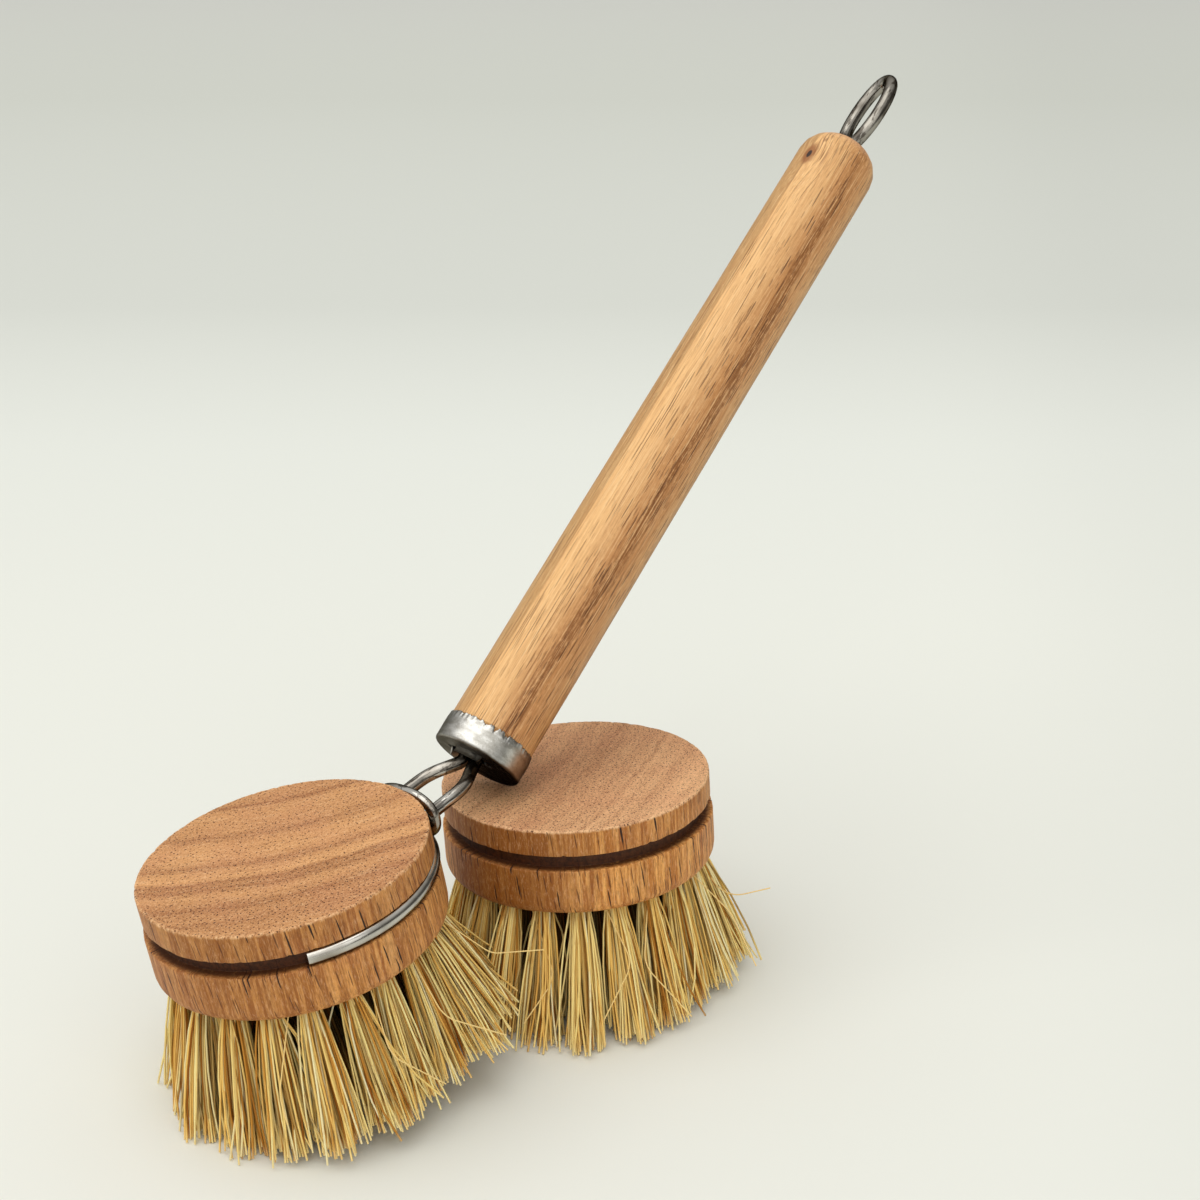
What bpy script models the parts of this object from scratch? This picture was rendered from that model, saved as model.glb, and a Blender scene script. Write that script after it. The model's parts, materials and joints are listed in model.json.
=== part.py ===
"""Dish brush with a replaceable round head, leaning on its spare head.

A turned wooden handle ends in a sheet metal ferrule. Two spring wires leave the
ferrule's slot, run through a sliding oval link and lie in the groove round the
wooden head. The head carries a ring of bristle tufts set in drilled holes and a
field of bristles within it. A second head of the same kind stands beside it.
Lengths are in metres, angles in degrees, and the floor is z = 0.
"""
import math
import random

import bmesh
import bpy
from mathutils import Matrix, Vector

# Gap kept between pieces that touch on the real brush
TOUCH = 0.0003

# Wooden heads
HEAD_DIAMETER = 0.050
TOP_DISC = 0.0049
LOWER_DISC = 0.00886
LOWER_FLARE = 0.0004
TOP_EDGE = 0.0004
LOWER_EDGE = 0.0020
HEAD_STEPS = 48

# Bristles
TUFTS = 20
TUFT_DIAMETER = 0.0042
TUFT_GRID = 3
CORE_RIM = 0.0022
CORE_GRID = 7
PLUG_DEPTH = 0.0020
HOLE_MARGIN = 0.0001
BRISTLE_LENGTH = 0.02334
TIP_FLARE = 0.0032
TUFT_TIP_DEPTH = 0.0056
CORE_FLARE = 1.38
STRAND_GAP = 0.00016
CORE_STRAND_WIDTH = 0.0018
STRAND_SWELL = 1.1
RAGGED = 0.0012
TIP_CUT = 0.0005

# Wires
WIRE = 0.0021
LINK_WIRE = 0.0020
GROOVE_PLAY = 0.00032
GROOVE_REST = 0.00035
ARM_PROUD = 0.00065
ARM_WRAP = 121.0
ARM_BEND = 0.0035
NECK = 0.0050
NECK_START = 0.0073
NECK_DROP = 0.0007
TANG_SPACING = 0.0031
TANG_DEPTH = 0.0060
ARM_SPREAD = 1.0

# Handle and ferrule
HANDLE_DIAMETER = 0.01664
HANDLE_LENGTH = 0.1505
HANDLE_END_ROUND = 0.0056
HANDLE_RISE = 32.65
FERRULE_REACH = 0.0436
FERRULE_DROP = 0.0043
FERRULE_DIAMETER = 0.0174
FERRULE_LENGTH = 0.00554
FERRULE_WALL = 0.00045
FLAP_LENGTH = 0.0017
FLAP_WIDTH = 0.0022
FLAP_ANGLE = 50.0

# Hanging eye
EYE_HALF_WIDTH = 0.0044
EYE_HEIGHT = 0.0185
EYE_OVAL = 0.4865
EYE_LEG_SPACING = 0.0025
EYE_LEG_DEPTH = 0.0080
EYE_TURN = -15.0

# Locking link
LINK_LENGTH = 0.0152
LINK_HEIGHT = 0.0081
LINK_SQUARENESS = 2.25

# Stance, as photographed
HEADING = 45.7
LEAN_TOWARD = -157.6
SPARE_LEAN = 3.3
SPARE_LEAN_TOWARD = 180.0
SPARE_BEARING = 39.1
TIP_GAP = 0.0007

# Sizes that follow from the ones above
HEAD_RADIUS = HEAD_DIAMETER / 2
LOWER_RADIUS = HEAD_RADIUS + LOWER_FLARE
GROOVE_HEIGHT = WIRE + 2 * GROOVE_PLAY
HEAD_THICKNESS = TOP_DISC + GROOVE_HEIGHT + LOWER_DISC
GROOVE_LEVEL = -(TOP_DISC + GROOVE_HEIGHT / 2)
ARM_RADIUS = HEAD_RADIUS + ARM_PROUD - WIRE / 2
GROOVE_RADIUS = ARM_RADIUS - WIRE / 2 - GROOVE_REST
TUFT_RADIUS = TUFT_DIAMETER / 2
TUFT_RING = LOWER_RADIUS - LOWER_EDGE - HOLE_MARGIN - TUFT_RADIUS - TOUCH
CORE_RADIUS = TUFT_RING - TUFT_RADIUS - 2 * TOUCH - CORE_RIM
TIP_RADIUS = HEAD_RADIUS + TIP_FLARE
TUFT_REACH = TUFT_RADIUS * (1 - 1 / TUFT_GRID)
TUFT_STRAND = TUFT_DIAMETER / TUFT_GRID - 2 * STRAND_GAP
REACH = HEAD_THICKNESS + BRISTLE_LENGTH
TENON_RADIUS = FERRULE_DIAMETER / 2 - FERRULE_WALL - TOUCH
TENON_START = FERRULE_WALL + TOUCH
HANDLE_AXIS = Vector((math.cos(math.radians(HANDLE_RISE)), 0, math.sin(math.radians(HANDLE_RISE))))
FERRULE_END = Vector((FERRULE_REACH, 0, -FERRULE_DROP))
BEND_RADIUS = ARM_RADIUS + ARM_BEND
BEND_CENTRE = Vector((math.sqrt(BEND_RADIUS**2 - (NECK + ARM_BEND) ** 2), NECK + ARM_BEND))
WIRE_ROOM = WIRE / 2 + TOUCH
SPREAD_ROOM = TANG_DEPTH * math.tan(math.radians(ARM_SPREAD))


def clear_scene():
    for item in list(bpy.data.objects):
        bpy.data.objects.remove(item, do_unlink=True)


def new_collection(name):
    collection = bpy.data.collections.new(name)
    bpy.context.scene.collection.children.link(collection)
    return collection


def material(name, colour, roughness, metallic=0.0):
    made = bpy.data.materials.new(name)
    made.use_nodes = True
    shader = made.node_tree.nodes["Principled BSDF"]
    shader.inputs["Base Color"].default_value = (*colour, 1)
    shader.inputs["Roughness"].default_value = roughness
    shader.inputs["Metallic"].default_value = metallic
    return made


def add_object(name, data, collection, parent=None, look=None):
    item = bpy.data.objects.new(name, data)
    collection.objects.link(item)
    item.parent = parent
    if look is not None:
        data.materials.append(look)
    return item


def finish_mesh(bm, name, smooth_below=None):
    bmesh.ops.recalc_face_normals(bm, faces=bm.faces)
    mesh = bpy.data.meshes.new(name)
    bm.to_mesh(mesh)
    bm.free()
    if smooth_below is not None:
        mesh.shade_smooth()
        mesh.set_sharp_from_angle(angle=math.radians(smooth_below))
    return mesh


def turned(name, profile, steps, collection, parent, look):
    """A solid of revolution about the object's z axis, from (radius, z) points."""
    bm = bmesh.new()
    points = [bm.verts.new((radius, 0, z)) for radius, z in profile]
    for start, end in zip(points, points[1:]):
        bm.edges.new((start, end))
    mesh = bpy.data.meshes.new(name)
    bm.to_mesh(mesh)
    bm.free()
    item = add_object(name, mesh, collection, parent, look)
    screw = item.modifiers.new("turn", "SCREW")
    screw.axis = "Z"
    screw.steps = steps
    screw.render_steps = steps
    screw.use_merge_vertices = True
    screw.merge_threshold = 0.00001
    return item


def boolean(item, cutter, operation):
    modifier = item.modifiers.new(cutter.name, "BOOLEAN")
    modifier.object = cutter
    modifier.operation = operation
    modifier.solver = "EXACT"


def as_cutter(name, bm, collection, parent):
    item = add_object(name, finish_mesh(bm, name), collection, parent)
    item.hide_render = True
    item.display_type = "WIRE"
    return item


def arc(centre, radius, start, end, count):
    """Points on an arc in a plane, angles in degrees, both ends included."""
    points = []
    for step in range(count + 1):
        angle = math.radians(start + (end - start) * step / count)
        points.append(Vector(centre) + radius * Vector((math.cos(angle), math.sin(angle))))
    return points


def rounded_route(corners, radii, count=4):
    """A route through the corners, each inner corner rounded to its radius."""
    route = [corners[0]]
    for before, corner, after, radius in zip(corners, corners[1:], corners[2:], radii):
        to_before = (before - corner).normalized()
        to_after = (after - corner).normalized()
        half_angle = to_before.angle(to_after) / 2
        cut = radius / math.tan(half_angle)
        middle = corner + (to_before + to_after).normalized() * radius / math.sin(half_angle)
        first = corner + to_before * cut - middle
        last = corner + to_after * cut - middle
        for step in range(count + 1):
            route.append(middle + first.slerp(last, step / count) * radius)
    route.append(corners[-1])
    return route


def wire(name, points, thickness, collection, parent, look, closed=False):
    """A round wire along the points, with filled ends unless it is closed."""
    curve = bpy.data.curves.new(name, "CURVE")
    curve.dimensions = "3D"
    curve.bevel_depth = thickness / 2
    curve.bevel_resolution = 2
    curve.use_fill_caps = not closed
    spline = curve.splines.new("POLY")
    spline.points.add(len(points) - 1)
    for slot, point in zip(spline.points, points):
        slot.co = (*point, 1)
    spline.use_cyclic_u = closed
    spline.use_smooth = True
    return add_object(name, curve, collection, parent, look)


def head_profile():
    """The turned outline of a head, its top face at z = 0."""
    groove_top = -TOP_DISC
    groove_bottom = -TOP_DISC - GROOVE_HEIGHT
    edge_centre = (LOWER_RADIUS - LOWER_EDGE, -HEAD_THICKNESS + LOWER_EDGE)
    rounding = [tuple(point) for point in arc(edge_centre, LOWER_EDGE, 0, -90, 4)]
    return [
        (0, 0),
        (HEAD_RADIUS - TOP_EDGE, 0),
        (HEAD_RADIUS, -TOP_EDGE),
        (HEAD_RADIUS, groove_top),
        (GROOVE_RADIUS, groove_top),
        (GROOVE_RADIUS, groove_bottom),
        (LOWER_RADIUS, groove_bottom),
        *rounding,
        (0, -HEAD_THICKNESS),
    ]


def ring_place(index):
    """Where a tuft's root sits under the head: its own frame, x pointing outward."""
    turn = Matrix.Rotation(2 * math.pi * index / TUFTS, 4, "Z")
    return turn @ Matrix.Translation((TUFT_RING, 0, -HEAD_THICKNESS))


def add_round_hole(bm, place, radius, sides):
    """A hole that clears a plug of this radius by TOUCH at its sides and bottom."""
    reach = PLUG_DEPTH + TOUCH
    wide = (radius + TOUCH) / math.cos(math.pi / sides)
    middle = place @ Matrix.Translation((0, 0, (reach - PLUG_DEPTH) / 2))
    bmesh.ops.create_cone(
        bm, cap_ends=True, segments=sides, radius1=wide, radius2=wide,
        depth=reach + PLUG_DEPTH, matrix=middle,
    )


def make_block(name, collection, cutters, parent, look):
    """The wooden head: a turned block with its tuft holes and its inner recess."""
    block = turned(name, head_profile(), HEAD_STEPS, collection, parent, look)
    bm = bmesh.new()
    for index in range(TUFTS):
        add_round_hole(bm, ring_place(index), TUFT_RADIUS, 4 * TUFT_GRID)
    middle = Matrix.Translation((0, 0, -HEAD_THICKNESS))
    add_round_hole(bm, middle, CORE_RADIUS, 4 * CORE_GRID)
    boolean(block, as_cutter(name + "_holes", bm, cutters, parent), "DIFFERENCE")
    return block


def tuft_tip(root):
    """Where the middle of an outer tuft's strand ends, in the tuft's frame."""
    share = (TUFT_REACH - root.x) / (2 * TUFT_REACH)
    out = TIP_RADIUS - STRAND_SWELL * TUFT_STRAND / 2 - TUFT_TIP_DEPTH * share
    aside = math.pi / TUFTS * root.y / TUFT_RADIUS
    return Vector((out * math.cos(aside) - TUFT_RING, out * math.sin(aside), -BRISTLE_LENGTH))


def core_tip(root):
    """Where the middle of an inner strand ends."""
    return Vector((root.x * CORE_FLARE, root.y * CORE_FLARE, -BRISTLE_LENGTH))


def strand_ends(roots, tips, world, ragged, to_floor):
    """A strand's end corners: ragged in length, or level where the strand meets the floor."""
    level = max(ragged - TIP_CUT, 0)
    if not to_floor:
        tips = [root.lerp(tip, 1 - ragged / BRISTLE_LENGTH) for root, tip in zip(roots, tips)]
        level = 0
        if min((world @ tip).z for tip in tips) > 0:
            return tips
    ends = []
    for root, tip in zip(roots, tips):
        top = (world @ root).z
        bottom = (world @ tip).z
        ends.append(root.lerp(tip, (top - level) / (top - bottom)))
    return ends


def make_bristles(name, grid, radius, inset, tip_of, place, stance, dice, to_floor,
                  collection, parent, look):
    """Strands fused to a round slice of their backing, the slice's face at z = 0."""
    bm = bmesh.new()
    bmesh.ops.create_grid(bm, x_segments=grid, y_segments=grid, size=1)
    for vert in bm.verts:
        x, y = vert.co.x, vert.co.y
        vert.co.x = radius * x * math.sqrt(1 - y * y / 2)
        vert.co.y = radius * y * math.sqrt(1 - x * x / 2)
    cells = list(bm.faces)
    backing = bmesh.ops.extrude_face_region(bm, geom=cells, use_keep_orig=True)
    for item in backing["geom"]:
        if isinstance(item, bmesh.types.BMVert):
            item.co.z += PLUG_DEPTH
    bmesh.ops.inset_individual(bm, faces=cells, thickness=inset, use_even_offset=True)
    strands = bmesh.ops.extrude_discrete_faces(bm, faces=cells)["faces"]
    world = stance @ place
    for strand in strands:
        roots = [vert.co.copy() for vert in strand.verts]
        middle = sum(roots, Vector()) / len(roots)
        tip = tip_of(middle)
        tips = [tip + (root - middle) * STRAND_SWELL for root in roots]
        ends = strand_ends(roots, tips, world, dice.uniform(0, RAGGED), to_floor)
        for vert, end in zip(strand.verts, ends):
            vert.co = end
    item = add_object(name, finish_mesh(bm, name), collection, parent, look)
    item.matrix_local = place
    return item


def make_head(names, stance, empty, seed, to_floor, collection, cutters, looks):
    """A whole head: block, outer tufts and inner bristles, hung on an empty."""
    block_name, tuft_name, core_name = names
    dice = random.Random(seed)
    make_block(block_name, collection, cutters, empty, looks["head_wood"])
    for index in range(TUFTS):
        make_bristles(
            f"{tuft_name}_{index + 1:02d}", TUFT_GRID, TUFT_RADIUS, STRAND_GAP, tuft_tip,
            ring_place(index), stance, dice, to_floor, collection, empty, looks["bristle"],
        )
    core_gap = (2 * CORE_RADIUS / CORE_GRID - CORE_STRAND_WIDTH) / 2
    make_bristles(
        core_name, CORE_GRID, CORE_RADIUS, core_gap, core_tip,
        Matrix.Translation((0, 0, -HEAD_THICKNESS)), stance, dice, to_floor, collection, empty,
        looks["bristle"],
    )


def handle_frame():
    """The handle's frame in the head's: z along the handle, x down, y across the arms."""
    across = Vector((0, 1, 0))
    down = across.cross(HANDLE_AXIS)
    frame = Matrix((down, across, HANDLE_AXIS)).transposed().to_4x4()
    return Matrix.Translation(FERRULE_END) @ frame


def ferrule_rim():
    """Points round the two edges of the ferrule's end, in the head's frame."""
    frame = handle_frame()
    outer = FERRULE_DIAMETER / 2
    rings = ((outer, FERRULE_WALL), (outer - FERRULE_WALL, 0))
    return [
        frame @ Vector((*point, height))
        for radius, height in rings
        for point in arc((0, 0), radius, 0, 360, 72)
    ]


def arm_route(side):
    """The centre line of one arm, from its tang in the handle to its end in the groove."""
    half_tang = TANG_SPACING / 2
    inner = FERRULE_END + HANDLE_AXIS * TANG_DEPTH
    exit_point = FERRULE_END - HANDLE_AXIS * (WIRE / 2 + TOUCH / 2)
    neck_end = BEND_CENTRE.x + ARM_BEND / 2
    corners = [
        Vector((inner.x, half_tang, inner.z)),
        Vector((exit_point.x, half_tang, exit_point.z)),
        Vector((exit_point.x - NECK_START, NECK, GROOVE_LEVEL + NECK_DROP + TOUCH)),
        Vector((neck_end, NECK, GROOVE_LEVEL + NECK_DROP)),
        Vector((BEND_CENTRE.x, NECK, GROOVE_LEVEL)),
    ]
    lead = rounded_route(corners, [0.0022, 0.009, 0.002])
    tangent = math.degrees(math.atan2(BEND_CENTRE.y, BEND_CENTRE.x))
    bend = arc(BEND_CENTRE, ARM_BEND, -90, tangent - 180, 6)[1:]
    turns = round((ARM_WRAP - tangent) / 5)
    groove = arc((0, 0), ARM_RADIUS, tangent, ARM_WRAP, turns)[1:]
    route = lead + [Vector((*point, GROOVE_LEVEL)) for point in bend + groove]
    return [Vector((point.x, side * point.y, point.z)) for point in route]


def make_arm(name, side, collection, empty, look):
    """One spring wire; its origin is the inner end of its tang, where it flexes."""
    route = arm_route(side)
    arm = wire(name, [point - route[0] for point in route], WIRE, collection, empty, look)
    arm.location = route[0]
    return arm


def link_centre():
    return Vector((BEND_CENTRE.x, 0, GROOVE_LEVEL + TOUCH / 2))


def make_link(collection, empty, look):
    """The oval link that slides on both arms and holds them together."""
    points = []
    count = 28
    for step in range(count):
        angle = 2 * math.pi * step / count
        across = math.copysign(abs(math.cos(angle)) ** (2 / LINK_SQUARENESS), math.cos(angle))
        height = math.copysign(abs(math.sin(angle)) ** (2 / LINK_SQUARENESS), math.sin(angle))
        points.append(Vector((0, across * LINK_LENGTH / 2, height * LINK_HEIGHT / 2)))
    link = wire("locking_link", points, LINK_WIRE, collection, empty, look, closed=True)
    link.location = link_centre()
    return link


def make_ferrule(collection, cutters, empty, look):
    """A pressed cup on the handle's end, pierced by a slot with two bent flaps."""
    outer = FERRULE_DIAMETER / 2
    inner = outer - FERRULE_WALL
    profile = [
        (0, FERRULE_WALL),
        (inner, FERRULE_WALL),
        (inner, FERRULE_LENGTH),
        (outer, FERRULE_LENGTH),
        (outer, FERRULE_WALL),
        (outer - FERRULE_WALL, 0),
        (0, 0),
    ]
    ferrule = turned("ferrule", profile, 40, collection, empty, look)
    slot_length = TANG_SPACING + 2 * (WIRE_ROOM + SPREAD_ROOM)
    slot_width = 2 * WIRE_ROOM
    bm = bmesh.new()
    for side in (-1, 1):
        foot = Matrix.Translation((0, side * (slot_length / 2 + FERRULE_WALL / 2), FERRULE_WALL / 2))
        lean = Matrix.Rotation(side * math.radians(90 - FLAP_ANGLE), 4, "X")
        shift = Matrix.Translation((0, 0, -FLAP_LENGTH / 2))
        size = Matrix.Diagonal((FLAP_WIDTH, FERRULE_WALL, FLAP_LENGTH, 1))
        bmesh.ops.create_cube(bm, size=1, matrix=foot @ lean @ shift @ size)
    boolean(ferrule, as_cutter("slot_flaps", bm, cutters, empty), "UNION")
    bm = bmesh.new()
    size = Matrix.Diagonal((slot_width, slot_length, 4 * FERRULE_WALL, 1))
    bmesh.ops.create_cube(bm, size=1, matrix=size)
    boolean(ferrule, as_cutter("ferrule_slot", bm, cutters, empty), "DIFFERENCE")
    return ferrule


def make_handle(collection, cutters, empty, look):
    """The turned handle, with a mortise for the arms and a bore for the eye."""
    radius = HANDLE_DIAMETER / 2
    shoulder = FERRULE_LENGTH + TOUCH
    dome_centre = (radius - HANDLE_END_ROUND, HANDLE_LENGTH - HANDLE_END_ROUND)
    dome = [tuple(point) for point in arc(dome_centre, HANDLE_END_ROUND, 90, 0, 6)]
    profile = [(0, HANDLE_LENGTH), *dome, (radius, shoulder), (TENON_RADIUS, shoulder),
               (TENON_RADIUS, TENON_START), (0, TENON_START)]
    handle = turned("handle", profile, 40, collection, empty, look)
    bm = bmesh.new()
    mortise_length = TANG_SPACING + 2 * (WIRE_ROOM + SPREAD_ROOM)
    mortise_end = TANG_DEPTH + WIRE_ROOM
    size = Matrix.Diagonal((2 * WIRE_ROOM, mortise_length, 2 * mortise_end, 1))
    bmesh.ops.create_cube(bm, size=1, matrix=size)
    bore = EYE_LEG_SPACING / 2 + WIRE_ROOM
    deep = EYE_LEG_DEPTH + TOUCH
    bmesh.ops.create_cone(
        bm, cap_ends=True, segments=16, radius1=bore, radius2=bore, depth=2 * deep,
        matrix=Matrix.Translation((0, 0, HANDLE_LENGTH)),
    )
    boolean(handle, as_cutter("handle_cuts", bm, cutters, empty), "DIFFERENCE")
    return handle


def make_eye(collection, empty, look):
    """The hanging eye: one wire bent to an oval, both legs driven into the handle's end."""
    leg = EYE_LEG_SPACING / 2
    foot = HANDLE_LENGTH - EYE_LEG_DEPTH
    neck = HANDLE_LENGTH + TOUCH
    half_height = EYE_HEIGHT * EYE_OVAL
    centre = HANDLE_LENGTH + EYE_HEIGHT - half_height
    stretch = half_height / EYE_HALF_WIDTH
    to_neck = Vector((leg, (neck - centre) / stretch))
    tangent = math.degrees(math.atan2(to_neck.y, to_neck.x) + math.acos(EYE_HALF_WIDTH / to_neck.length))
    circle = arc((0, 0), EYE_HALF_WIDTH, tangent, 180 - tangent, 24)
    bow = [Vector((point.x, centre + stretch * point.y)) for point in circle]
    corners = [Vector((leg, foot, 0)), Vector((leg, neck, 0)), Vector((*bow[0], 0))]
    rising = rounded_route(corners, [0.003], 3)
    falling = [Vector((-point.x, point.y, 0)) for point in reversed(rising)]
    middle = [Vector((*point, 0)) for point in bow[1:-1]]
    turn = Matrix.Rotation(math.radians(90 + EYE_TURN), 3, "Z")
    points = [turn @ Vector((point.x, 0, point.y)) for point in rising + middle + falling]
    return wire("hanging_eye", points, WIRE, collection, empty, look)


def lean_matrix(angle, toward, heading):
    """Turn a head by its heading, then lean it toward a bearing."""
    bearing = math.radians(toward)
    axis = Vector((-math.sin(bearing), math.cos(bearing), 0))
    lean = Matrix.Rotation(math.radians(angle), 4, axis)
    return lean @ Matrix.Rotation(math.radians(heading), 4, "Z")


def standing_height(angle):
    """Height of a leaning head's top face centre, its lowest tips cut by the floor."""
    tilt = math.radians(angle)
    return REACH * math.cos(tilt) + TIP_RADIUS * math.sin(tilt) - TIP_CUT


def spare_stance():
    lift = Matrix.Translation((0, 0, standing_height(SPARE_LEAN)))
    return lift @ lean_matrix(SPARE_LEAN, SPARE_LEAN_TOWARD, 0)


def brush_stance(angle):
    """The brush's frame at a lean angle, its tips just clear of the spare head's."""
    bearing = math.radians(SPARE_BEARING)
    spacing = 2 * TIP_RADIUS + TIP_GAP
    away = -spacing * Vector((math.cos(bearing), math.sin(bearing), 0))
    spare_tips = spare_stance() @ Vector((0, 0, -REACH))
    turned_frame = lean_matrix(angle, LEAN_TOWARD, HEADING)
    own_tips = turned_frame @ Vector((0, 0, -REACH))
    place = spare_tips + away - own_tips
    place.z = standing_height(angle)
    return Matrix.Translation(place) @ turned_frame


def rest_gap(angle):
    """Gap between the ferrule's rim and the spare head's top face at a lean angle."""
    to_spare = spare_stance().inverted() @ brush_stance(angle)
    return min((to_spare @ point).z for point in ferrule_rim())


def resting_lean():
    """The lean at which the ferrule rests on the spare head, by halving."""
    low, high = 0.0, 25.0
    for _ in range(40):
        middle = (low + high) / 2
        if rest_gap(middle) < TOUCH:
            low = middle
        else:
            high = middle
    return high


def add_empty(name, matrix, collection, parent=None):
    item = bpy.data.objects.new(name, None)
    item.empty_display_size = 0.01
    collection.objects.link(item)
    item.parent = parent
    item.matrix_local = matrix
    return item


def centre_on_floor(collection, assembly):
    """Move the whole set so that the origin lies under the middle of its box."""
    bpy.context.view_layer.update()
    graph = bpy.context.evaluated_depsgraph_get()
    low = Vector((math.inf, math.inf))
    high = -low
    for item in collection.objects:
        if item.type == "EMPTY":
            continue
        shape = item.evaluated_get(graph)
        mesh = shape.to_mesh()
        for vert in mesh.vertices:
            point = shape.matrix_world @ vert.co
            low = Vector((min(low.x, point.x), min(low.y, point.y)))
            high = Vector((max(high.x, point.x), max(high.y, point.y)))
        shape.to_mesh_clear()
    middle = (low + high) / 2
    assembly.location = (-middle.x, -middle.y, 0)


def build():
    clear_scene()
    parts = new_collection("dish_brush")
    cutters = new_collection("cutters")
    looks = {
        "head_wood": material("head_wood", (0.40, 0.20, 0.10), 0.6),
        "handle_wood": material("handle_wood", (0.60, 0.36, 0.17), 0.5),
        "steel": material("steel", (0.62, 0.60, 0.57), 0.22, 1.0),
        "tinplate": material("tinplate", (0.66, 0.66, 0.64), 0.38, 1.0),
        "bristle": material("bristle", (0.62, 0.47, 0.24), 0.7),
    }
    assembly = add_empty("assembly", Matrix(), parts)
    stance = brush_stance(resting_lean())
    brush = add_empty("brush_frame", stance, parts, assembly)
    handle = add_empty("handle_frame", handle_frame(), parts, brush)
    spare = add_empty("spare_frame", spare_stance(), parts, assembly)
    names = ("head_block", "head_tuft", "head_inner_bristles")
    make_head(names, stance, brush, 11, False, parts, cutters, looks)
    names = ("spare_block", "spare_tuft", "spare_inner_bristles")
    make_head(names, spare_stance(), spare, 23, True, parts, cutters, looks)
    make_arm("arm_left", -1, parts, brush, looks["steel"])
    make_arm("arm_right", 1, parts, brush, looks["steel"])
    make_link(parts, brush, looks["steel"])
    make_ferrule(parts, cutters, handle, looks["tinplate"])
    make_handle(parts, cutters, handle, looks["handle_wood"])
    make_eye(parts, handle, looks["steel"])
    centre_on_floor(parts, assembly)


build()
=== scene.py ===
"""The looks of a dish brush that leans on its spare head.

The solids come from the frame, and each is dressed here by a finer piece. Sizes are in
millimetres and measured in the piece's own place, unless a name says otherwise.
"""
import json
import math

import bmesh
import bpy
from mathutils import Matrix, Vector, noise


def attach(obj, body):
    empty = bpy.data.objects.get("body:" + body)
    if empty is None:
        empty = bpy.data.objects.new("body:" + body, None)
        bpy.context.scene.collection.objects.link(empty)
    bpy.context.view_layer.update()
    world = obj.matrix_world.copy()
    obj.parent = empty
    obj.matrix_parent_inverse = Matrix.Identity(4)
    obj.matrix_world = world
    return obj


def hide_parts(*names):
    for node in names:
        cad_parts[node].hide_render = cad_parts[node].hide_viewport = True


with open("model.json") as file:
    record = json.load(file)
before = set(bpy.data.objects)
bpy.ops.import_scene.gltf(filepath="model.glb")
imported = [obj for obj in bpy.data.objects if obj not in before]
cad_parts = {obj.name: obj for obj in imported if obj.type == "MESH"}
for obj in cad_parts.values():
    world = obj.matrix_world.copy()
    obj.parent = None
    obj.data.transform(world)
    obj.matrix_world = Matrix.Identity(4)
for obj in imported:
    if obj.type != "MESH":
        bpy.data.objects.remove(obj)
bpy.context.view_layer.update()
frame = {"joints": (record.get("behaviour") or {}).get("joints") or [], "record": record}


# The viewpoint, the light and the floor. The set stands on a matt pale table in a
# bright plain room: a wide soft lamp hangs above it to the left, a weaker one lights
# it from the front, and the table's far part is a little greyer than its near part.
CAMERA_PLACE = (0.008107, -0.341659, 0.188396)
CAMERA_DROP = math.radians(19.02)
CAMERA_LENS = 57.604
LAMPS = (("wide_lamp_above", 1.16, 60, (8, -16)), ("wide_lamp_in_front", 0.60, 60, (54, 28)))
LAMP_COLOUR = (0.985, 0.985, 0.955)
ROOM_LEVEL = 0.70
FLOOR_NEAR, FLOOR_FAR, FLOOR_SIDE = -6, 10, 6
TONES_START, TONES_SPAN = -0.6, 6.6


class Value:
    """An output of a node; arithmetic on it adds Math nodes to its tree."""

    def __init__(self, socket):
        self.socket = socket

    def also(self, name):
        """Another output of the same node."""
        return Value(self.socket.node.outputs[name])

    def __add__(self, other):
        return maths("ADD", self, other)

    def __radd__(self, other):
        return maths("ADD", other, self)

    def __sub__(self, other):
        return maths("SUBTRACT", self, other)

    def __rsub__(self, other):
        return maths("SUBTRACT", other, self)

    def __mul__(self, other):
        return maths("MULTIPLY", self, other)

    def __rmul__(self, other):
        return maths("MULTIPLY", other, self)

    def __truediv__(self, other):
        return maths("DIVIDE", self, other)

    def __pow__(self, other):
        return maths("POWER", self, other)

    def __gt__(self, other):
        return maths("GREATER_THAN", self, other)

    def __lt__(self, other):
        return maths("LESS_THAN", self, other)

    def eased(self, low, high, to_low=0.0, to_high=1.0):
        """This value eased from one range to another, held at both ends."""
        return Recipe(self.socket.id_data).add("ShaderNodeMapRange", {"interpolation_type": "SMOOTHSTEP"}, {
            "Value": self, "From Min": low, "From Max": high, "To Min": to_low, "To Max": to_high})


def maths(operation, *items):
    """A Math node of this operation on values and plain numbers."""
    tree = next(item for item in items if isinstance(item, Value)).socket.id_data
    node = tree.nodes.new("ShaderNodeMath")
    node.operation = operation
    for place, item in zip(node.inputs, items):
        if isinstance(item, Value):
            tree.links.new(item.socket, place)
        else:
            place.default_value = item
    return Value(node.outputs[0])


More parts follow.
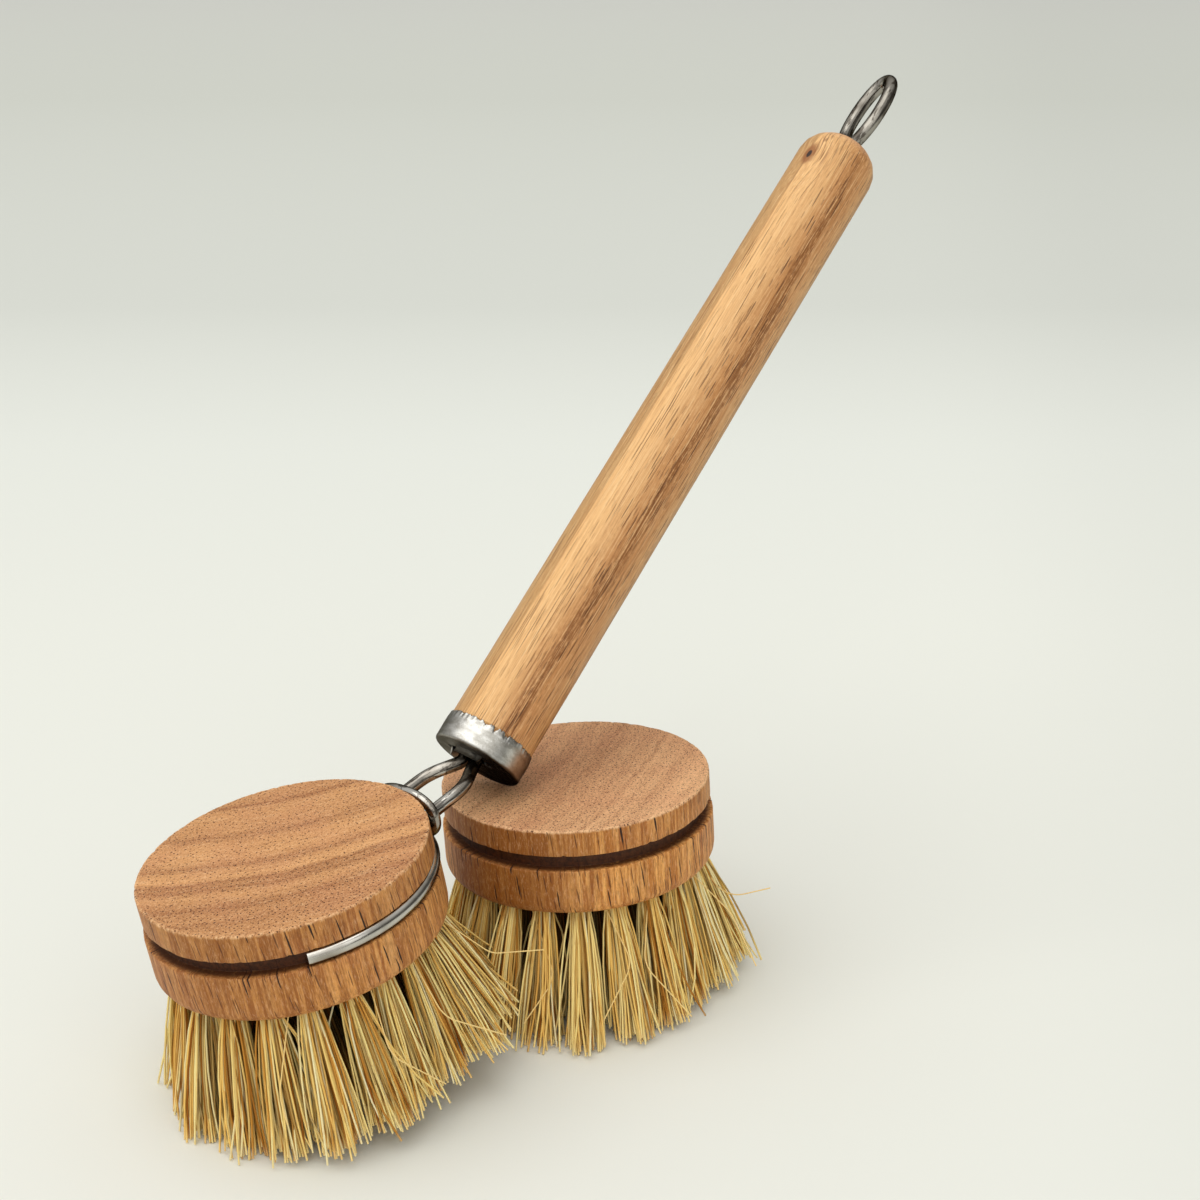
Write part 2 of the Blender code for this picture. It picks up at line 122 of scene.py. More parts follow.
class Recipe:
    """A node tree under way, for a material, the room or a shape."""

    def __init__(self, tree):
        self.tree = tree

    def add(self, kind, settings=None, sockets=None):
        """Add a node: settings first, then its sockets' values or links."""
        node = self.tree.nodes.new(kind)
        for name, value in (settings or {}).items():
            if name == "stops":
                while len(node.color_ramp.elements) < len(value):
                    node.color_ramp.elements.new(1)
                for element, (position, colour) in zip(node.color_ramp.elements, value):
                    element.position = position
                    element.color = colour
            else:
                setattr(node, name, value)
        for name, value in (sockets or {}).items():
            if isinstance(value, Value):
                self.tree.links.new(value.socket, node.inputs[name])
            else:
                node.inputs[name].default_value = value
        return Value(node.outputs[0]) if node.outputs else None

    def ramp(self, factor, *stops):
        """A value that runs between stops of (position, screen colour or grey from 0 to 1)."""
        stops = [(at, paint(*tone) if isinstance(tone, tuple) else (tone,) * 3 + (1,)) for at, tone in stops]
        return self.add("ShaderNodeValToRGB", {"stops": stops}, {"Fac": factor})

    def blend(self, factor, first, second):
        """Two colours mixed."""
        mixed = self.add("ShaderNodeMix", {"data_type": "RGBA"}, {0: factor, 6: first, 7: second})
        return Value(mixed.socket.node.outputs[2])

    def coats(self, colour, *layers):
        """A colour under thin coats, one over another: each a share and a screen colour."""
        for share, screen_colour in layers:
            colour = self.blend(share, colour, paint(*screen_colour))
        return colour

    def split(self, vector):
        """The x, y and z of a vector."""
        parts = self.add("ShaderNodeSeparateXYZ", None, {"Vector": vector})
        return parts, parts.also("Y"), parts.also("Z")

    def joined(self, x, y, z):
        """A vector made of x, y and z."""
        return self.add("ShaderNodeCombineXYZ", None, {"X": x, "Y": y, "Z": z})

    def vector(self, operation, first, second=(0, 0, 0)):
        """A Vector Math node on one or two vectors."""
        return self.add("ShaderNodeVectorMath", {"operation": operation}, {0: first, 1: second})

    def cloud(self, place, scale, detail, roughness):
        """Soft noise from 0 to 1."""
        return self.add("ShaderNodeTexNoise", None, {
            "Vector": place, "Scale": scale, "Detail": detail, "Roughness": roughness})


def paint(red, green, blue):
    """A colour as seen on a screen, 0 to 255, for a colour socket."""
    return tuple(
        part / 12.92 if part <= 0.04045 else ((part + 0.055) / 1.055) ** 2.4
        for part in (red / 255, green / 255, blue / 255)
    ) + (1,)


def new_material(name):
    """An empty material, and the recipe to fill it."""
    made = bpy.data.materials.new(name)
    made.use_nodes = True
    made.node_tree.nodes.clear()
    return made, Recipe(made.node_tree)


def show(name, data):
    """A new object with this data, in the scene."""
    shown = bpy.data.objects.new(name, data)
    bpy.context.scene.collection.objects.link(shown)
    return shown


def shade(recipe, fixed, colour, rough, relief=None):
    """End a material in one Principled shader; relief is its height, strength and reach."""
    sockets = {**fixed, "Base Color": colour, "Roughness": rough}
    if relief:
        height, strength, reach = relief
        sockets["Normal"] = recipe.add("ShaderNodeBump", None, {
            "Strength": strength, "Distance": reach, "Height": height})
    surface = recipe.add("ShaderNodeBsdfPrincipled", None, sockets)
    recipe.add("ShaderNodeOutputMaterial", None, {"Surface": surface})


camera_data = bpy.data.cameras.new("camera")
camera_data.lens = CAMERA_LENS
camera_data.sensor_width = 36
camera = show("camera", camera_data)
camera.location = CAMERA_PLACE
camera.rotation_euler = (math.pi / 2 - CAMERA_DROP, 0, 0)
bpy.context.scene.camera = camera
bpy.context.scene.view_settings.view_transform = "Standard"

for name, level, width, (tilt_x, tilt_y) in LAMPS:
    lamp_data = bpy.data.lights.new(name, "SUN")
    lamp_data.energy = level
    lamp_data.angle = math.radians(width)
    lamp_data.color = LAMP_COLOUR
    lamp = show(name, lamp_data)
    lamp.rotation_euler = (math.radians(tilt_x), math.radians(tilt_y), 0)

room = bpy.data.worlds.new("room")
room.use_nodes = True
room.node_tree.nodes.clear()
recipe = Recipe(room.node_tree)
way = recipe.add("ShaderNodeTexCoord").also("Generated")
toward_lamp = recipe.vector("DOT_PRODUCT", way, (-0.30, -0.08, 0.95)).also("Value")
wall = recipe.ramp(
    toward_lamp * 0.5 + 0.5, (0.0, (110, 108, 104)), (0.58, (110, 108, 104)),
    (0.68, (196, 196, 192)), (0.80, (255, 255, 253)), (1.0, (255, 255, 255)),
)
toward_viewer = recipe.vector("DOT_PRODUCT", way, (0.25, -0.96, 0.10)).also("Value")
wall = recipe.coats(
    wall,
    (toward_viewer.eased(0.84, 0.95) * 0.7, (70, 68, 64)),
    (recipe.split(way)[2].eased(0.16, 0.08), (226, 228, 220)),
)
light = recipe.add("ShaderNodeBackground", None, {"Color": wall, "Strength": ROOM_LEVEL})
recipe.add("ShaderNodeOutputWorld", None, {"Surface": light})
bpy.context.scene.world = room

floor_mesh = bpy.data.meshes.new("table")
floor_mesh.from_pydata([
    (-FLOOR_SIDE, FLOOR_NEAR, 0), (FLOOR_SIDE, FLOOR_NEAR, 0), (FLOOR_SIDE, FLOOR_FAR, 0),
    (-FLOOR_SIDE, FLOOR_FAR, 0)], [], [(0, 1, 2, 3)])
table, recipe = new_material("matt_table")
spot = recipe.add("ShaderNodeTexCoord").also("Object")
right, depth = recipe.split(spot)[:2]
tone = recipe.ramp(
    (depth - TONES_START) / TONES_SPAN, (0.0, (237, 238, 231)), (0.115, (236, 237, 229)),
    (0.150, (231, 233, 226)), (0.196, (215, 217, 210)), (0.41, (206, 208, 200)),
    (1.0, (203, 204, 198)),
)
to_the_right = (right / maths("MAXIMUM", depth + 0.7, 0.3)).eased(0.12, 0.22)
tone = recipe.blend(to_the_right * 0.07, tone, paint(120, 122, 120))
shade(recipe, {"Specular IOR Level": 0.1}, tone, 0.9)
floor_mesh.materials.append(table)
floor = show("table", floor_mesh)


# The two wooden heads. Each is turned from a disc of reddish hardwood with the grain
# running through its thickness, so that the growth rings and open pores show on top and
# the pores as short slits round the side. The groove is cut hot and is burnt dark, and
# painted shade darkens it further toward its floor.
HEAD_RADIUS = 25.0
LOWER_RADIUS = 25.4
GROOVE_RADIUS = 23.2
GROOVE_TOP = -4.9
GROOVE_BOTTOM = -7.64
HEAD_THICKNESS = 16.5
SPARE_TOP = (0.003478, -0.012921, 0.040897)
SPARE_LEAN = math.radians(3.3)
RINGS_SPAN = 60
BLOCK_STEPS = 300
NICK_REACH = 0.8
MILLIMETRE = Matrix.Scale(0.001, 4)


def stand(origin, z_axis, x_axis):
    """The place, in metres, of something with this origin and these two axes."""
    z_way = Vector(z_axis).normalized()
    y_way = z_way.cross(Vector(x_axis)).normalized()
    turn = Matrix((y_way.cross(z_way), y_way, z_way)).transposed().to_4x4()
    return Matrix.Translation(origin) @ turn


def rounded_outline(corners, spacing):
    """(radius, z) points through corners given as (radius, z, rounding)."""
    points = [Vector(corners[0][:2])]
    for before, corner, after in zip(corners, corners[1:], corners[2:]):
        here = Vector(corner[:2])
        back = (Vector(before[:2]) - here).normalized()
        ahead = (Vector(after[:2]) - here).normalized()
        half = back.angle(ahead) / 2
        middle = here + (back + ahead).normalized() * corner[2] / math.sin(half)
        start = here + back * corner[2] / math.tan(half) - middle
        end = here + ahead * corner[2] / math.tan(half) - middle
        for step in range(6):
            points.append(middle + start.slerp(end, step / 5) * corner[2])
    points.append(Vector(corners[-1][:2]))
    outline = [points[0]]
    for start, end in zip(points, points[1:]):
        pieces = max(1, math.ceil((end - start).length / spacing))
        outline += [start.lerp(end, piece / pieces) for piece in range(1, pieces + 1)]
    return outline


def lathe(outline, steps):
    """A closed solid turned about z from an outline that starts and ends on it."""
    bm = bmesh.new()
    rings = []
    for radius, z in outline:
        count = 1 if radius < 1e-6 else steps
        angles = [2 * math.pi * step / steps for step in range(count)]
        rings.append([bm.verts.new((radius * math.cos(a), radius * math.sin(a), z)) for a in angles])
    for upper, lower in zip(rings, rings[1:]):
        for step in range(steps):
            after = (step + 1) % steps
            corners = [upper[step % len(upper)], upper[after % len(upper)],
                       lower[after % len(lower)], lower[step % len(lower)]]
            bm.faces.new(list(dict.fromkeys(corners)))
    bmesh.ops.recalc_face_normals(bm, faces=bm.faces)
    return bm


def smooth(mesh, sharp):
    """Smooth shading, up to an angle at which an edge stays sharp."""
    mesh.shade_smooth()
    mesh.set_sharp_from_angle(angle=math.radians(sharp))


def settle(bm, name, place, material=None, sharp=35):
    """Turn the shape into a piece in its place, smooth up to an angle."""
    mesh = bpy.data.meshes.new(name)
    bm.to_mesh(mesh)
    bm.free()
    if material:
        mesh.materials.append(material)
    mesh.transform(place @ MILLIMETRE)
    smooth(mesh, sharp)
    return show(name, mesh)


def own_material(name, place):
    """A new material, its recipe, and Object coordinates in the piece's own place, in millimetres."""
    made, recipe = new_material(name)
    spot = recipe.add("ShaderNodeMapping", {"vector_type": "TEXTURE"}, {
        "Vector": recipe.add("ShaderNodeTexCoord").also("Object"), "Location": place.translation,
        "Rotation": tuple(place.to_euler()), "Scale": (0.001, 0.001, 0.001)})
    return made, recipe, spot


def grain(recipe, spot, scales, detail, roughness=0.5, shift=0.0):
    """Soft noise from 0 to 1, drawn out along the axes whose scale is small."""
    drawn_out = recipe.add("ShaderNodeMapping", {"vector_type": "POINT"}, {
        "Vector": spot, "Scale": scales, "Location": (shift, shift * 0.7, shift * 0.3)})
    return recipe.cloud(drawn_out, 1.0, detail, roughness)


def pore_mask(recipe, across, along, width, length, size, share, shift):
    """Open pores on the surface: ovals drawn out along it, in a share of the cells."""
    cells = recipe.joined(across / width + shift * 7, along / length + shift * 3, 0.0)
    near = recipe.add("ShaderNodeTexVoronoi", {"feature": "F1", "voronoi_dimensions": "2D"}, {
        "Vector": cells, "Scale": 1.0})
    luck = recipe.add("ShaderNodeSeparateColor", None, {"Color": near.also("Color")})
    reach = size * (0.6 + 0.4 * luck.also("Green"))
    return (near / reach).eased(1.15, 0.8) * (luck < share)


def head_wood(name, place, pith, first_ring, lines, tones, stain, pores, seed):
    """Reddish end grain: rings about a pith beside the head, pores, a groove burnt dark with painted shade
    deep inside it.

    lines: where a ring lies and how dark it is. tones: light and dark on top, then at the side.
    stain: the way the darker side faces and its strength; that side carries a real stain and painted shade.
    pores: the share of coarse ones and of fine ones.
    """
    made, recipe, spot = own_material(name, place)
    x, y, z = recipe.split(spot)
    radius = maths("SQRT", x * x + y * y)
    sway = grain(recipe, spot, (0.06, 0.06, 0.02), 2.0, 0.5, seed)
    shiver = grain(recipe, spot, (0.7, 0.7, 0.05), 4.0, 0.65, seed)
    ring = maths("SQRT", (x - pith[0]) * (x - pith[0]) + (y - pith[1]) * (y - pith[1]))
    ring = ring + (sway - 0.5) * 3 + (shiver - 0.5) * 1.6
    years = recipe.ramp((ring - first_ring) / RINGS_SPAN, *lines)
    streak = grain(recipe, spot, (1.3, 1.3, 0.04), 4.0, 0.62, seed)
    mottle = grain(recipe, spot, (1.7, 1.7, 0.5), 4.0, 0.7, seed + 2)
    speck = grain(recipe, spot, (4.0, 4.0, 0.9), 3.0, 0.75, seed)
    patch = grain(recipe, spot, (0.11, 0.11, 0.09), 3.0, 0.5, seed + 3)
    bands = grain(recipe, spot, (0.4, 0.4, 0.03), 3.0, 0.6, seed + 4)
    hairs = grain(recipe, spot, (4.5, 4.5, 0.35), 3.0, 0.7, seed + 6)
    aside = maths("ARCTAN2", x, 0 - y) * HEAD_RADIUS + z * 0.1 + (shiver - 0.5) * 0.7
    crowd = years.eased(0.2, 0.7, 0.6, 1.15)
    dots = pore_mask(recipe, x, y, 0.85, 0.85, 0.18, crowd * pores[0], seed)
    fine_dots = pore_mask(recipe, x, y, 0.5, 0.5, 0.21, crowd * pores[1], seed + 5)
    slits = pore_mask(recipe, aside, z, 0.62, 9.6, 0.19, 0.62, seed)
    splits = pore_mask(recipe, aside, z, 1.35, 22.0, 0.115, 0.6, seed + 5)
    on_side = z.eased(-0.1, -0.5)
    light_tone, dark_tone, side_light, side_dark = (paint(*tone) for tone in tones)
    beside = (x * pith[1] - y * pith[0]) / math.hypot(*pith)
    fine = recipe.cloud(recipe.joined(ring * 1.5, beside * 0.1, z * 0.03 + seed), 1.0, 4.0, 0.7)
    # A real stain and painted shade darken the side that faces the stain's way.
    stained_and_shaded = ((x * stain[0] + y * stain[1]) / radius + (streak - 0.5) * 0.25).eased(0.70, 0.98)
    rim = radius.eased(24.2, 24.9) * z.eased(-0.7, -0.1) * mottle.eased(0.45, 0.6)
    top = recipe.coats(
        recipe.blend(years * 0.95, light_tone, dark_tone),
        (fine.eased(0.53, 0.68) * 0.45, (146, 92, 52)),
        (fine.eased(0.47, 0.32) * 0.35, (252, 206, 154)),
        (patch.eased(0.35, 0.75) * 0.3, (204, 136, 98)),
    )
    side = recipe.coats(
        recipe.blend(streak.eased(0.38, 0.60), side_light, side_dark),
        (patch.eased(0.4, 0.7) * 0.35, (186, 112, 68)),
        (bands.eased(0.52, 0.7) * 0.4, (250, 190, 118)),
        (bands.eased(0.48, 0.3) * 0.4, (128, 70, 24)),
        (hairs.eased(0.52, 0.7) * 0.55, (108, 58, 18)),
        (hairs.eased(0.48, 0.3) * 0.22, (240, 176, 104)),
        (z.eased(-4.0, -8.0, 0.14, 0.0), (110, 56, 14)),
        (stained_and_shaded * stain[2], (138, 78, 18)),
    )
    wood = recipe.coats(
        recipe.blend(on_side, top, side),
        (mottle.eased(0.52, 0.72) * (0.5 - 0.2 * on_side), (244, 192, 142)),
        (mottle.eased(0.48, 0.28) * (0.5 - 0.1 * on_side), (130, 76, 42)),
        (speck.eased(0.5, 0.3) * (0.55 - 0.15 * on_side), (112, 64, 34)),
        (speck.eased(0.52, 0.72) * (0.5 - 0.25 * on_side), (255, 212, 166)),
        (rim * 0.55, (250, 206, 154)),
        (fine_dots * (1 - on_side) * 0.7, (116, 70, 38)),
        (dots * (1 - on_side) * 0.95, (82, 44, 22)),
        (slits * on_side * 0.75, (84, 42, 16)),
        (splits * on_side * 0.97, (40, 17, 6)),
    )
    char = grain(recipe, spot, (1.3, 1.3, 1.3), 4.0, 0.7, seed)
    # The groove: real char, with painted shade that deepens toward its floor.
    depth = (radius + (char - 0.5) * 1.5).eased(25.35, 24.0)
    groove = z.eased(GROOVE_TOP + 0.1, GROOVE_TOP - 0.1)
    groove = groove * (z + (char - 0.5) * 0.9).eased(GROOVE_BOTTOM - 0.5, GROOVE_BOTTOM + 0.1)
    burnt = recipe.blend(char.eased(0.3, 0.7), paint(46, 18, 4), paint(86, 44, 18))
    wood = recipe.blend(depth * groove * 0.97, wood, burnt)
    relief = (speck - 0.5) * 0.3 + (mottle - 0.5) * 0.3 - dots * (1 - on_side) * 0.6 - splits * on_side
    rough = 0.52 + streak * 0.12 + dots * 0.1
    shade(recipe, {"Specular IOR Level": 0.35}, wood, rough, (relief, 0.65, 0.00022))
    return made


def make_block(name, place, seed, wood):
    """The turned block, its rims nicked here and there where the grain broke out."""
    corners = [(0, 0, 0), (HEAD_RADIUS, 0, 0.35), (HEAD_RADIUS, GROOVE_TOP, 0.2),
               (GROOVE_RADIUS, GROOVE_TOP, 0.15), (GROOVE_RADIUS, GROOVE_BOTTOM, 0.15),
               (LOWER_RADIUS, GROOVE_BOTTOM, 0.3), (LOWER_RADIUS, -HEAD_THICKNESS, 2.2),
               (0, -HEAD_THICKNESS, 0)]
    bm = lathe(rounded_outline(corners, spacing=0.9), BLOCK_STEPS)
    rims = ((HEAD_RADIUS, 0, -1, 0.30), (HEAD_RADIUS, GROOVE_TOP, 1, 0.30),
            (LOWER_RADIUS, GROOVE_BOTTOM, -1, 0.34))
    for vert in bm.verts:
        radius = math.hypot(vert.co.x, vert.co.y)
        if radius < GROOVE_RADIUS - 1:
            continue
        out = Vector((vert.co.x, vert.co.y, 0)) / radius
        sample = vert.co + Vector((seed * 31.7, 0, 0))
        move = out * 0.05 * noise.noise(sample * 0.25)
        for rim_radius, rim_z, inward, depth in rims:
            near = max(0.0, 1 - math.hypot(radius - rim_radius, vert.co.z - rim_z) / NICK_REACH)
            bite = max(0.0, noise.noise(sample * 1.1) - 0.12) + max(0.0, noise.noise(sample * 0.37) - 0.3)
            move += (Vector((0, 0, inward)) - out) * near * bite * depth
        vert.co += move
    return settle(bm, name, place, wood)


def find(rows, name):
    """The row of this name in one of the record's lists."""
    return next(row for row in rows if row["name"] == name)


spin = find(frame["joints"], "head_spin")
slide = find(frame["joints"], "link_slide")
head_place = stand(spin["pos_m"], spin["axis"], slide["axis"])
spare_place = stand(SPARE_TOP, (-math.sin(SPARE_LEAN), 0, math.cos(SPARE_LEAN)), (1, 0, 0))

wood = head_wood(
    "head_hardwood", head_place, pith=(42, 51), first_ring=40, lines=(
     (0.0, 0.3), (0.10, 0.55), (0.118, 1.0), (0.133, 0.45), (0.16, 0.27), (0.26, 0.38), (0.292, 0.75),
     (0.32, 0.34), (0.35, 0.2), (0.41, 0.12), (0.44, 0.35), (0.466, 0.78), (0.487, 0.25), (0.525, 0.0),
     (0.536, 0.3), (0.548, 1.0), (0.562, 0.62), (0.583, 0.9), (0.604, 0.42), (0.622, 0.22), (0.654, 0.5),
     (0.682, 0.92), (0.706, 0.6), (0.733, 0.5), (0.755, 0.72), (0.785, 0.55), (0.83, 0.42)),
    tones=((228, 168, 108), (164, 104, 56), (226, 158, 84), (168, 102, 40)),
    stain=(-0.94, -0.34, 0.35), pores=(0.85, 0.5), seed=1.0)
piece = make_block("head_wood_block", head_place, 1, wood)
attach(piece, "head")
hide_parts("head_block")

wood = head_wood(
    "spare_hardwood", spare_place, pith=(-150, 64), first_ring=138, lines=(
     (0.0, 0.5), (0.22, 0.3), (0.25, 0.62), (0.28, 0.32), (0.35, 0.68), (0.38, 0.45), (0.42, 0.66),
     (0.455, 0.8), (0.48, 0.6), (0.53, 0.5), (0.56, 0.64), (0.60, 0.42), (0.61, 0.72), (0.63, 0.3),
     (0.66, 0.5), (0.68, 0.34), (0.71, 0.6), (0.74, 0.36), (0.78, 0.15), (0.80, 0.42), (0.84, 0.2),
     (0.87, 0.4), (1.0, 0.2)),
    tones=((246, 194, 142), (186, 130, 88), (246, 178, 98), (190, 116, 42)),
    stain=(-0.574, -0.819, 0.8), pores=(0.85, 0.95), seed=4.0)
piece = make_block("spare_wood_block", spare_place, 2, wood)
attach(piece, "spare_head")
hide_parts("spare_block")


# The bristles: stiff straw-coloured plant fibre, folded into tufts and driven into
# drilled holes. A ring of tufts splays outward, rings of smaller tufts fill the middle,
# every fibre bends a little in its own way, and a few stray ones stick out.
RING_TUFTS = 20
RING_RADIUS = 20.7
INNER_RINGS = ((14.6, 14), (8.6, 8), (3.0, 3))
TUFT_RADIUS = 1.65
INNER_TUFT_RADIUS = 1.9
RING_FIBRES = 94
INNER_FIBRES = 54
FIBRE = 0.37
TIP_PLANE = -40.9
FLARE = 1.25
SPLAY = 2.35
ROOT_PLANE = -HEAD_THICKNESS + 0.6
RAGGED = 1.9
LOOSE = 1.15
BOW = 0.9
STRAY_SHARE = 0.035
STRAY_LOOSE = 3.2
STRAY_BOW = 2.0
BETWEEN_RINGS = 17.5
LIFT_FROM = 8
LIFT = 0.06
FLOOR_GAP = 0.02
FIBRE_POINTS = 5
INNER_TWIST = 0.37
WORN_ANGLE = 38
TUFT_LEAN = 2.2


def shape_recipe(name, inputs):
    """A shape's tree with its named inputs: the recipe to fill it, and what it is given."""
    kinds = {int: "Int", float: "Float", tuple: "Vector", type(None): "Material"}
    tree = bpy.data.node_groups.new(name, "GeometryNodeTree")
    for way in ("INPUT", "OUTPUT"):
        tree.interface.new_socket(name="Geometry", in_out=way, socket_type="NodeSocketGeometry")
    for title, value in inputs.items():
        made = tree.interface.new_socket(
            name=title, in_out="INPUT", socket_type="NodeSocket" + kinds[type(value)])
        if value is not None:
            made.default_value = value
    recipe = Recipe(tree)
    return recipe, recipe.add("NodeGroupInput")


def store(recipe, geometry, name, kind, value):
    """Keep a value on each point of a shape."""
    return recipe.add("GeometryNodeStoreNamedAttribute", {"data_type": kind, "domain": "POINT"}, {
        "Geometry": geometry, "Name": name, "Value": value})


def stored(recipe, name, kind="FLOAT"):
    """A value that each point of a shape keeps."""
    return recipe.add("GeometryNodeInputNamedAttribute", {"data_type": kind}, {"Name": name})


def scaled(recipe, vector, amount):
    """A vector times a number."""
    return recipe.add("ShaderNodeVectorMath", {"operation": "SCALE"}, {0: vector, "Scale": amount})


def skinned(recipe, curves, sides, thickness, material):
    """End a shape's tree in a skin round its curves, as one real mesh."""
    section = recipe.add("GeometryNodeCurvePrimitiveCircle", None, {
        "Resolution": sides, "Radius": thickness / 2})
    skin = recipe.add("GeometryNodeCurveToMesh", None, {
        "Curve": curves, "Profile Curve": section, "Fill Caps": True})
    skin = recipe.add("GeometryNodeRealizeInstances", None, {"Geometry": skin})
    skin = recipe.add("GeometryNodeSetMaterial", None, {"Geometry": skin, "Material": material})
    recipe.add("NodeGroupOutput", None, {"Geometry": skin})
    return recipe.tree


def grow(name, base, tree, values, place):
    """Run a shape's tree on a base mesh and keep the result as a plain mesh in place."""
    seedling = show(name, base)
    modifier = seedling.modifiers.new("shape", "NODES")
    modifier.node_group = tree
    for item in tree.interface.items_tree:
        if item.in_out == "INPUT" and item.name in values:
            modifier[item.identifier] = values[item.name]
    graph = bpy.context.evaluated_depsgraph_get()
    mesh = bpy.data.meshes.new_from_object(seedling.evaluated_get(graph))
    bpy.data.objects.remove(seedling)
    mesh.name = name
    mesh.transform(place @ MILLIMETRE)
    return show(name, mesh)


def bristle_tree():
    """Fibres from tuft centres: each a short curve of five points, four-sided."""
    recipe, centres = shape_recipe("bristle_field", {
        "Ring Fibres": RING_FIBRES, "Inner Fibres": INNER_FIBRES, "Ring Tuft Radius": TUFT_RADIUS,
        "Inner Tuft Radius": INNER_TUFT_RADIUS, "Root Plane": ROOT_PLANE, "Tip Plane": TIP_PLANE,
        "Flare": FLARE, "Splay": SPLAY, "Thickness": FIBRE, "Ragged": RAGGED, "Loose": LOOSE, "Bow": BOW,
        "Stray Share": STRAY_SHARE, "Floor Normal": (0, 0, 1), "Floor Height": 0.0, "Seed": 0,
        "Material": None})
    given = centres.also
    seeds = iter(range(100))

    def chance(low, high):
        """A number of its own for each fibre."""
        drawn = recipe.add("FunctionNodeRandomValue", {"data_type": "FLOAT"}, {
            2: low, 3: high, "Seed": given("Seed") + next(seeds)})
        return drawn.also(1)

    def by_ring(of_ring, of_inner):
        """One input's value in the outer ring of tufts, another's in the inner rings."""
        return given(of_inner) + outer * (given(of_ring) - given(of_inner))

    def above_floor(point):
        """How high a point stands above the table."""
        upward = recipe.vector("DOT_PRODUCT", point, given("Floor Normal")).also("Value")
        return upward + given("Floor Height")

    centre = recipe.add("GeometryNodeInputPosition")
    outer = recipe.vector("LENGTH", centre).also("Value") > BETWEEN_RINGS
    tufts = recipe.add("GeometryNodeMeshToPoints", None, {"Mesh": centres, "Radius": 1.0})
    fibres = recipe.add("GeometryNodeDuplicateElements", {"domain": "POINT"}, {
        "Geometry": tufts, "Amount": by_ring("Ring Fibres", "Inner Fibres")})
    x, y = recipe.split(centre)[:2]
    from_middle = chance(0.0, 1.0) ** 0.5
    out = by_ring("Ring Tuft Radius", "Inner Tuft Radius") * from_middle
    angle = chance(0.0, 2 * math.pi)
    aside_x = out * maths("COSINE", angle)
    aside_y = out * maths("SINE", angle)
    root = recipe.joined(x + aside_x, y + aside_y, given("Root Plane"))
    stray = chance(0.0, 1.0) < given("Stray Share")
    loose = given("Loose") + stray * STRAY_LOOSE
    splay = given("Splay") * chance(0.85, 1.12)
    lean_x, lean_y = recipe.split(stored(recipe, "lean", "FLOAT_VECTOR"))[:2]
    flare = given("Flare") * chance(0.97, 1.03) * stored(recipe, "reach")
    short = given("Ragged") * chance(0.0, 1.0) ** 2.2
    tip_x = x * flare + aside_x * splay + lean_x + loose * chance(-1.0, 1.0)
    tip_y = y * flare + aside_y * splay + lean_y + loose * chance(-1.0, 1.0)
    sideways = maths("SQRT", (tip_x - x - aside_x) ** 2 + (tip_y - y - aside_y) ** 2)
    lift = maths("MAXIMUM", sideways - LIFT_FROM, 0.0) ** 2 * LIFT
    tip = recipe.joined(tip_x, tip_y, given("Tip Plane") + short + lift)
    height = above_floor(root)
    room_below = height - FLOOR_GAP - given("Thickness") / 2
    share = maths("MINIMUM", 1.0, room_below / (height - above_floor(tip)))
    run = scaled(recipe, recipe.vector("SUBTRACT", tip, root), share)
    bend = given("Bow") + stray * STRAY_BOW
    bow = recipe.joined(bend * chance(-1.0, 1.0), bend * chance(-1.0, 1.0), 0.3 * chance(-1.0, 1.0))
    for name, kind, value in (("root", "FLOAT_VECTOR", root), ("run", "FLOAT_VECTOR", run),
                              ("bow", "FLOAT_VECTOR", bow), ("tone", "FLOAT", chance(0.0, 1.0)),
                              ("outer", "FLOAT", outer), ("from_middle", "FLOAT", from_middle),
                              ("fibre", "INT", recipe.add("GeometryNodeInputIndex"))):
        fibres = store(recipe, fibres, name, kind, value)
    points = recipe.add("GeometryNodeDuplicateElements", {"domain": "POINT"}, {
        "Geometry": fibres, "Amount": FIBRE_POINTS})
    along = points.also("Duplicate Index") / (FIBRE_POINTS - 1)
    straight = scaled(recipe, stored(recipe, "run", "FLOAT_VECTOR"), along)
    bent = scaled(recipe, stored(recipe, "bow", "FLOAT_VECTOR"), 4 * along * (1 - along))
    course = recipe.vector("ADD", straight, bent)
    spot = recipe.vector("ADD", stored(recipe, "root", "FLOAT_VECTOR"), course)
    points = recipe.add("GeometryNodeSetPosition", None, {"Geometry": points, "Position": spot})
    points = store(recipe, points, "along", "FLOAT", along)
    curves = recipe.add("GeometryNodePointsToCurves", None, {
        "Points": points, "Curve Group ID": stored(recipe, "fibre", "INT"),
        "Weight": stored(recipe, "along")})
    width = (0.8 + 0.4 * stored(recipe, "tone")) * (1 - 0.25 * stored(recipe, "along"))
    curves = recipe.add("GeometryNodeSetCurveRadius", None, {"Curve": curves, "Radius": width})
    return skinned(recipe, curves, 4, given("Thickness"), given("Material"))


